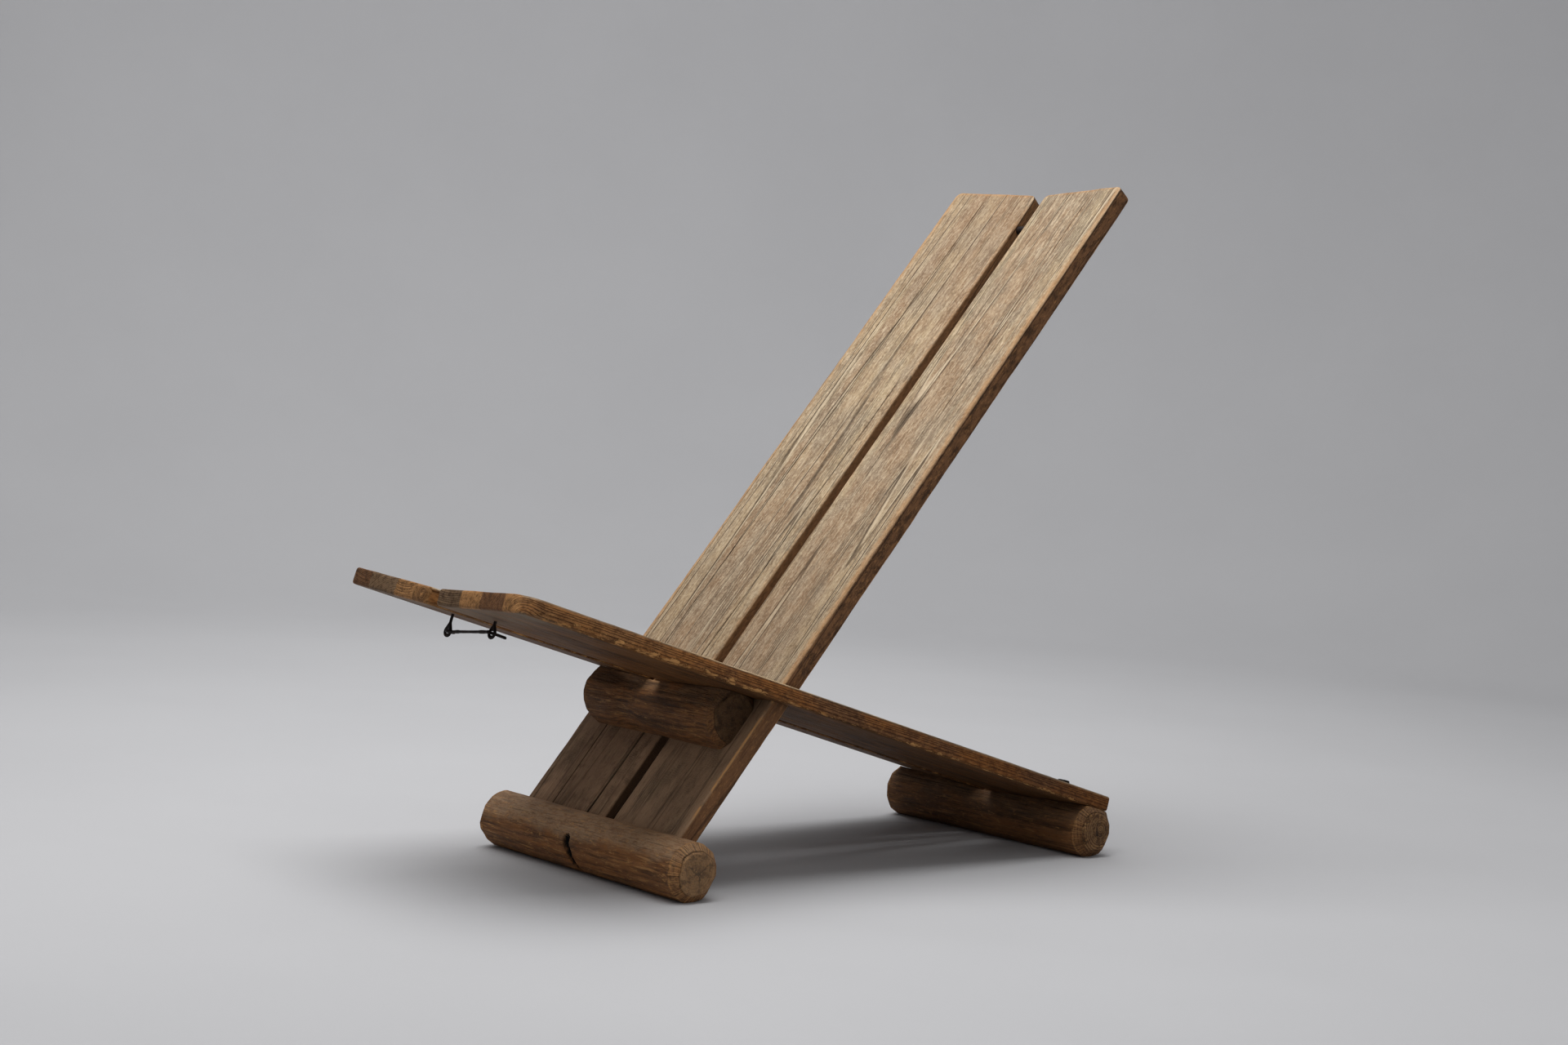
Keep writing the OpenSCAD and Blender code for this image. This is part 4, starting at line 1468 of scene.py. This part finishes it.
def wire_ring(middle_radius, wire, matrix):
    """A closed ring of round wire about the Z of a matrix."""
    bm = bmesh.new()
    made = bmesh.ops.create_circle(bm, cap_ends=False, segments=ROUND, radius=wire / 2,
                                   matrix=Matrix.Translation((middle_radius, 0, 0))
                                   @ Matrix.Rotation(math.radians(90), 4, "X"))
    bmesh.ops.spin(bm, geom=made["verts"] + bm.edges[:], cent=(0, 0, 0), axis=(0, 0, 1),
                   dvec=(0, 0, 0), angle=math.tau, steps=RING_STEPS, use_merge=True)
    bmesh.ops.recalc_face_normals(bm, faces=bm.faces)
    bm.transform(matrix)
    return bm


def eye_mesh(drop):
    """A screw eye with its ring round Y, its shoulders drawn up into the stem."""
    s = sizes()
    middle = s.eye_bore / 2 + s.wire / 2
    r = s.wire / 2
    ring = wire_ring(middle, s.wire, Matrix.Rotation(math.radians(90), 4, "X"))
    tip = drop + s.eye_bite
    levels = (middle, middle + 2 * r, drop, tip - s.wire, tip)
    stem = tube([(0, 0, level) for level in levels], [r, r, r, r, 0.2 * r])
    shoulders = [tube([(side * middle * wide, 0, middle * high), (0, 0, middle + 2.9 * r)],
                      [r * 0.98, r * 0.9])
                 for side in (LEFT, RIGHT) for wide, high in ((0.80, 0.60), (0.42, 0.91))]
    lining = [tube([(-0.72 * middle, 0, level * middle), (0.72 * middle, 0, level * middle)],
                   [r * 0.58, r * 0.58]) for level in (-0.63, 0.63)]
    return fuse([ring, stem] + shoulders + lining)


def hook_hinge():
    """The middle of the hook's ring, in the seat's frame."""
    s = sizes()
    return (s.eye_bore / 2 + s.wire / 2 - s.eye_out, s.eye_back,
            plank_under(s.eye_out) - s.left_drop)


def hook_mesh():
    """The hook: a ring, a shaft with forged shoulders, a corner and a curved tip."""
    s = sizes()
    ring_radius = s.wire + s.wire / 4
    rise = s.left_drop - s.right_drop
    reach = math.hypot(s.eye_out - hook_hinge()[0], rise)
    lead = math.asin((s.hook_ball / 2 + s.wire) / reach)
    tip_turn = s.hook_tip / reach
    thin = s.hook_wire / 2
    tip_radius = 1.12 * thin

    def at(distance, turn):
        return (distance * math.cos(turn), distance * math.sin(turn), 0)

    ring = wire_ring(ring_radius, s.wire, Matrix.Identity(4))
    spots = [at(ring_radius + share * (reach - ring_radius), -lead)
             for share in (0.0, 0.07, 0.12, 0.17, 0.22, 0.5, 0.74, 0.80, 0.88, 0.96, 1.0)]
    fat = [1.1, 1.1, 1.36, 1.36, 1.14, 1.08, 1.12, 1.34, 1.34, 1.2, 1.1]
    shaft = tube(spots, [thin * k for k in fat])
    steps = 16
    turns = [-lead + (lead + tip_turn) * k / steps for k in range(steps + 1)]
    tip = tube([at(reach, turn) for turn in turns[:-2]], [tip_radius] * (steps - 1))
    parts = [ring, shaft, tip]
    for radius, turn in ((s.hook_ball / 2, -lead), (tip_radius, turns[-3])):
        ball = bmesh.new()
        bmesh.ops.create_icosphere(ball, subdivisions=3, radius=radius,
                                   matrix=Matrix.Translation(at(reach, turn)))
        parts.append(ball)
    return fuse(parts)


def paint_nodes(material, *nodes):
    """Gives carried-over CAD nodes a material."""
    for name in nodes:
        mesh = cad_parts[name].data
        mesh.materials.clear()
        mesh.materials.append(material)


class IronWork(bpy.types.Operator):
    """Build the hook and its eyes, and give the screws, the pin and the pegs their finish"""

    bl_idname = "plank_chair.iron_work"
    bl_label = "Iron and pegs"

    def execute(self, context):
        s = sizes()
        iron = iron_material("Black iron")
        for side, word, drop in ((LEFT, "left", s.left_drop), (RIGHT, "right", s.right_drop)):
            middle = Matrix.Translation((side * s.eye_out, s.eye_back,
                                         plank_under(s.eye_out) - drop))
            finish_piece(eye_mesh(drop), "screw_eye_" + word + "_forged", "seat",
                         ["screw_eye_" + word], iron, seat_frame() @ middle)
        hinge = Vector(hook_hinge())
        tilt = math.atan2(s.left_drop - s.right_drop, s.eye_out - hinge.x)
        place = seat_frame() @ Matrix.Translation(hinge) @ Matrix.Rotation(-tilt, 4, "Y")
        finish_piece(hook_mesh(), "hook_forged", "hook", ["hook"], iron, place)
        paint_nodes(iron, "tie_pin", "seat_screws", "seat_washers", "bearer_screws",
                    "bearer_washers")
        paint_nodes(peg_material("Peg wood"), "log_pegs")
        return {"FINISHED"}


# Stage

# The bowl's flat floor, the sweep that turns it up, the top of its wall, and its steps
FLOOR_RADIUS = 3.6
SWEEP = 2.0
WALL_TOP = 5.0
SWEEP_STEPS = 16
BOWL_STEPS = 96
FLOOR_CLOUD = (0.30, 0.30, 0.31)


def studio_bowl():
    """A round floor that sweeps up into an open wall."""
    bm = bmesh.new()
    turns = [math.radians(90) * k / SWEEP_STEPS for k in range(1, SWEEP_STEPS + 1)]
    profile = [(0.001, 0.0), (FLOOR_RADIUS, 0.0)]
    profile += [(FLOOR_RADIUS + SWEEP * math.sin(a), SWEEP - SWEEP * math.cos(a)) for a in turns]
    profile += [(FLOOR_RADIUS + SWEEP, WALL_TOP)]
    verts = [bm.verts.new((r, 0, z)) for r, z in profile]
    edges = [bm.edges.new(pair) for pair in zip(verts, verts[1:])]
    bmesh.ops.spin(bm, geom=verts + edges, cent=(0, 0, 0), axis=(0, 0, 1), dvec=(0, 0, 0),
                   angle=math.tau, steps=BOWL_STEPS, use_merge=True)
    bmesh.ops.recalc_face_normals(bm, faces=bm.faces)
    bowl = linked_object(bm, "studio_bowl")
    bowl.data.shade_smooth()
    sh = Shade("Studio floor")
    at = sh.object_place()
    cloud = sh.noise(at, (1.5, 1.5, 1.5), 3.0)
    speck = sh.noise(at, (300, 300, 300), 5.0)
    tone = sh.wash(colours().stage, (cloud, 0.3, 0.7, 0.06, FLOOR_CLOUD))
    bowl.data.materials.append(sh.finish(tone, 0.85, speck, 0.0002))


def even_light(strength):
    """White light from all sides."""
    world = bpy.data.worlds.new("Studio light")
    world.use_nodes = True
    background = world.node_tree.nodes["Background"]
    background.inputs["Color"].default_value = (1, 1, 1, 1)
    background.inputs["Strength"].default_value = strength
    bpy.context.scene.world = world


def lamp(name, place, aim, size, power):
    """A flat lamp at a place, turned towards an aim."""
    light = bpy.data.lights.new(name, "AREA")
    light.shape = "RECTANGLE"
    light.size, light.size_y = size
    light.energy = power
    thing = bpy.data.objects.new(name, light)
    turn = (Vector(aim) - Vector(place)).to_track_quat("-Z", "Y").to_matrix().to_4x4()
    thing.matrix_world = Matrix.Translation(place) @ turn
    bpy.context.scene.collection.objects.link(thing)


def camera_matrix(st):
    """Where the camera stands and how it is turned, from its yaw, pitch and roll."""
    yaw, pitch, roll = st.camera_yaw, st.camera_pitch, st.camera_roll
    ahead = Vector((-math.sin(yaw) * math.cos(pitch), math.cos(yaw) * math.cos(pitch),
                    math.sin(pitch)))
    level_right = ahead.cross(Vector((0, 0, 1))).normalized()
    level_up = level_right.cross(ahead)
    right = level_right * math.cos(roll) + level_up * math.sin(roll)
    up = level_up * math.cos(roll) - level_right * math.sin(roll)
    turn = Matrix((right, up, -ahead)).transposed().to_4x4()
    return Matrix.Translation(Vector(st.camera_at)) @ turn


def photo_camera(st):
    """The camera that the picture is taken with."""
    data = bpy.data.cameras.new("photo_camera")
    data.sensor_width = SENSOR
    data.lens = st.focal_pixels * SENSOR / IMAGE_WIDTH
    data.shift_x = -st.centre_x / IMAGE_WIDTH
    data.shift_y = st.centre_y / IMAGE_WIDTH
    data.dof.use_dof = False
    data.clip_end = 100.0
    camera = bpy.data.objects.new("photo_camera", data)
    camera.matrix_world = camera_matrix(st)
    bpy.context.scene.collection.objects.link(camera)
    bpy.context.scene.camera = camera


class Stage(bpy.types.Operator):
    """Set up the floor, the backdrop, the lamps and the camera"""

    bl_idname = "plank_chair.stage"
    bl_label = "Stage"

    def execute(self, context):
        st = stage_settings()
        context.scene.view_settings.view_transform = "Standard"
        studio_bowl()
        even_light(st.sky)
        lamp("overhead", (-0.15, -0.5, 3.1), (0, 0, 0.3), (2.6, 2.6), st.lamp_power)
        lamp("fill", (2.9, -1.5, 2.3), (0, 0, 0.4), (1.6, 1.6), st.fill_power)
        lamp("wash", (-2.2, 1.0, 3.2), (-3.9, 3.0, 0.2), (3.0, 1.0), st.wash_power)
        photo_camera(st)
        return {"FINISHED"}


class ChairPanel(bpy.types.Panel):
    """Lists the operators and the sizes in the sidebar"""

    bl_idname = "VIEW3D_PT_plank_chair"
    bl_label = "Plank Chair"
    bl_space_type = "VIEW_3D"
    bl_region_type = "UI"
    bl_category = "Plank Chair"

    def draw(self, context):
        for operator in OPERATORS:
            self.layout.operator(operator.bl_idname)
        for group in (sizes(), colours(), stage_settings()):
            column = self.layout.column(align=True)
            for name in group.__annotations__:
                column.prop(group, name)


OPERATORS = (BackPlanks, SeatPlanks, FloorLogs, BearerLog, IronWork, Stage)
CLASSES = (ChairSizes, ChairColours, StageSettings) + OPERATORS + (ChairPanel,)


def register():
    for cls in CLASSES:
        bpy.utils.register_class(cls)
    bpy.types.Scene.chair_sizes = PointerProperty(type=ChairSizes)
    bpy.types.Scene.chair_colours = PointerProperty(type=ChairColours)
    bpy.types.Scene.chair_stage = PointerProperty(type=StageSettings)


def unregister():
    del bpy.types.Scene.chair_stage
    del bpy.types.Scene.chair_colours
    del bpy.types.Scene.chair_sizes
    for cls in reversed(CLASSES):
        bpy.utils.unregister_class(cls)


def main():
    register()
    bpy.ops.plank_chair.stage()
    bpy.ops.plank_chair.back_planks()
    bpy.ops.plank_chair.seat_planks()
    bpy.ops.plank_chair.floor_logs()
    bpy.ops.plank_chair.bearer_log()
    bpy.ops.plank_chair.iron_work()


if __name__ == "__main__":
    main()
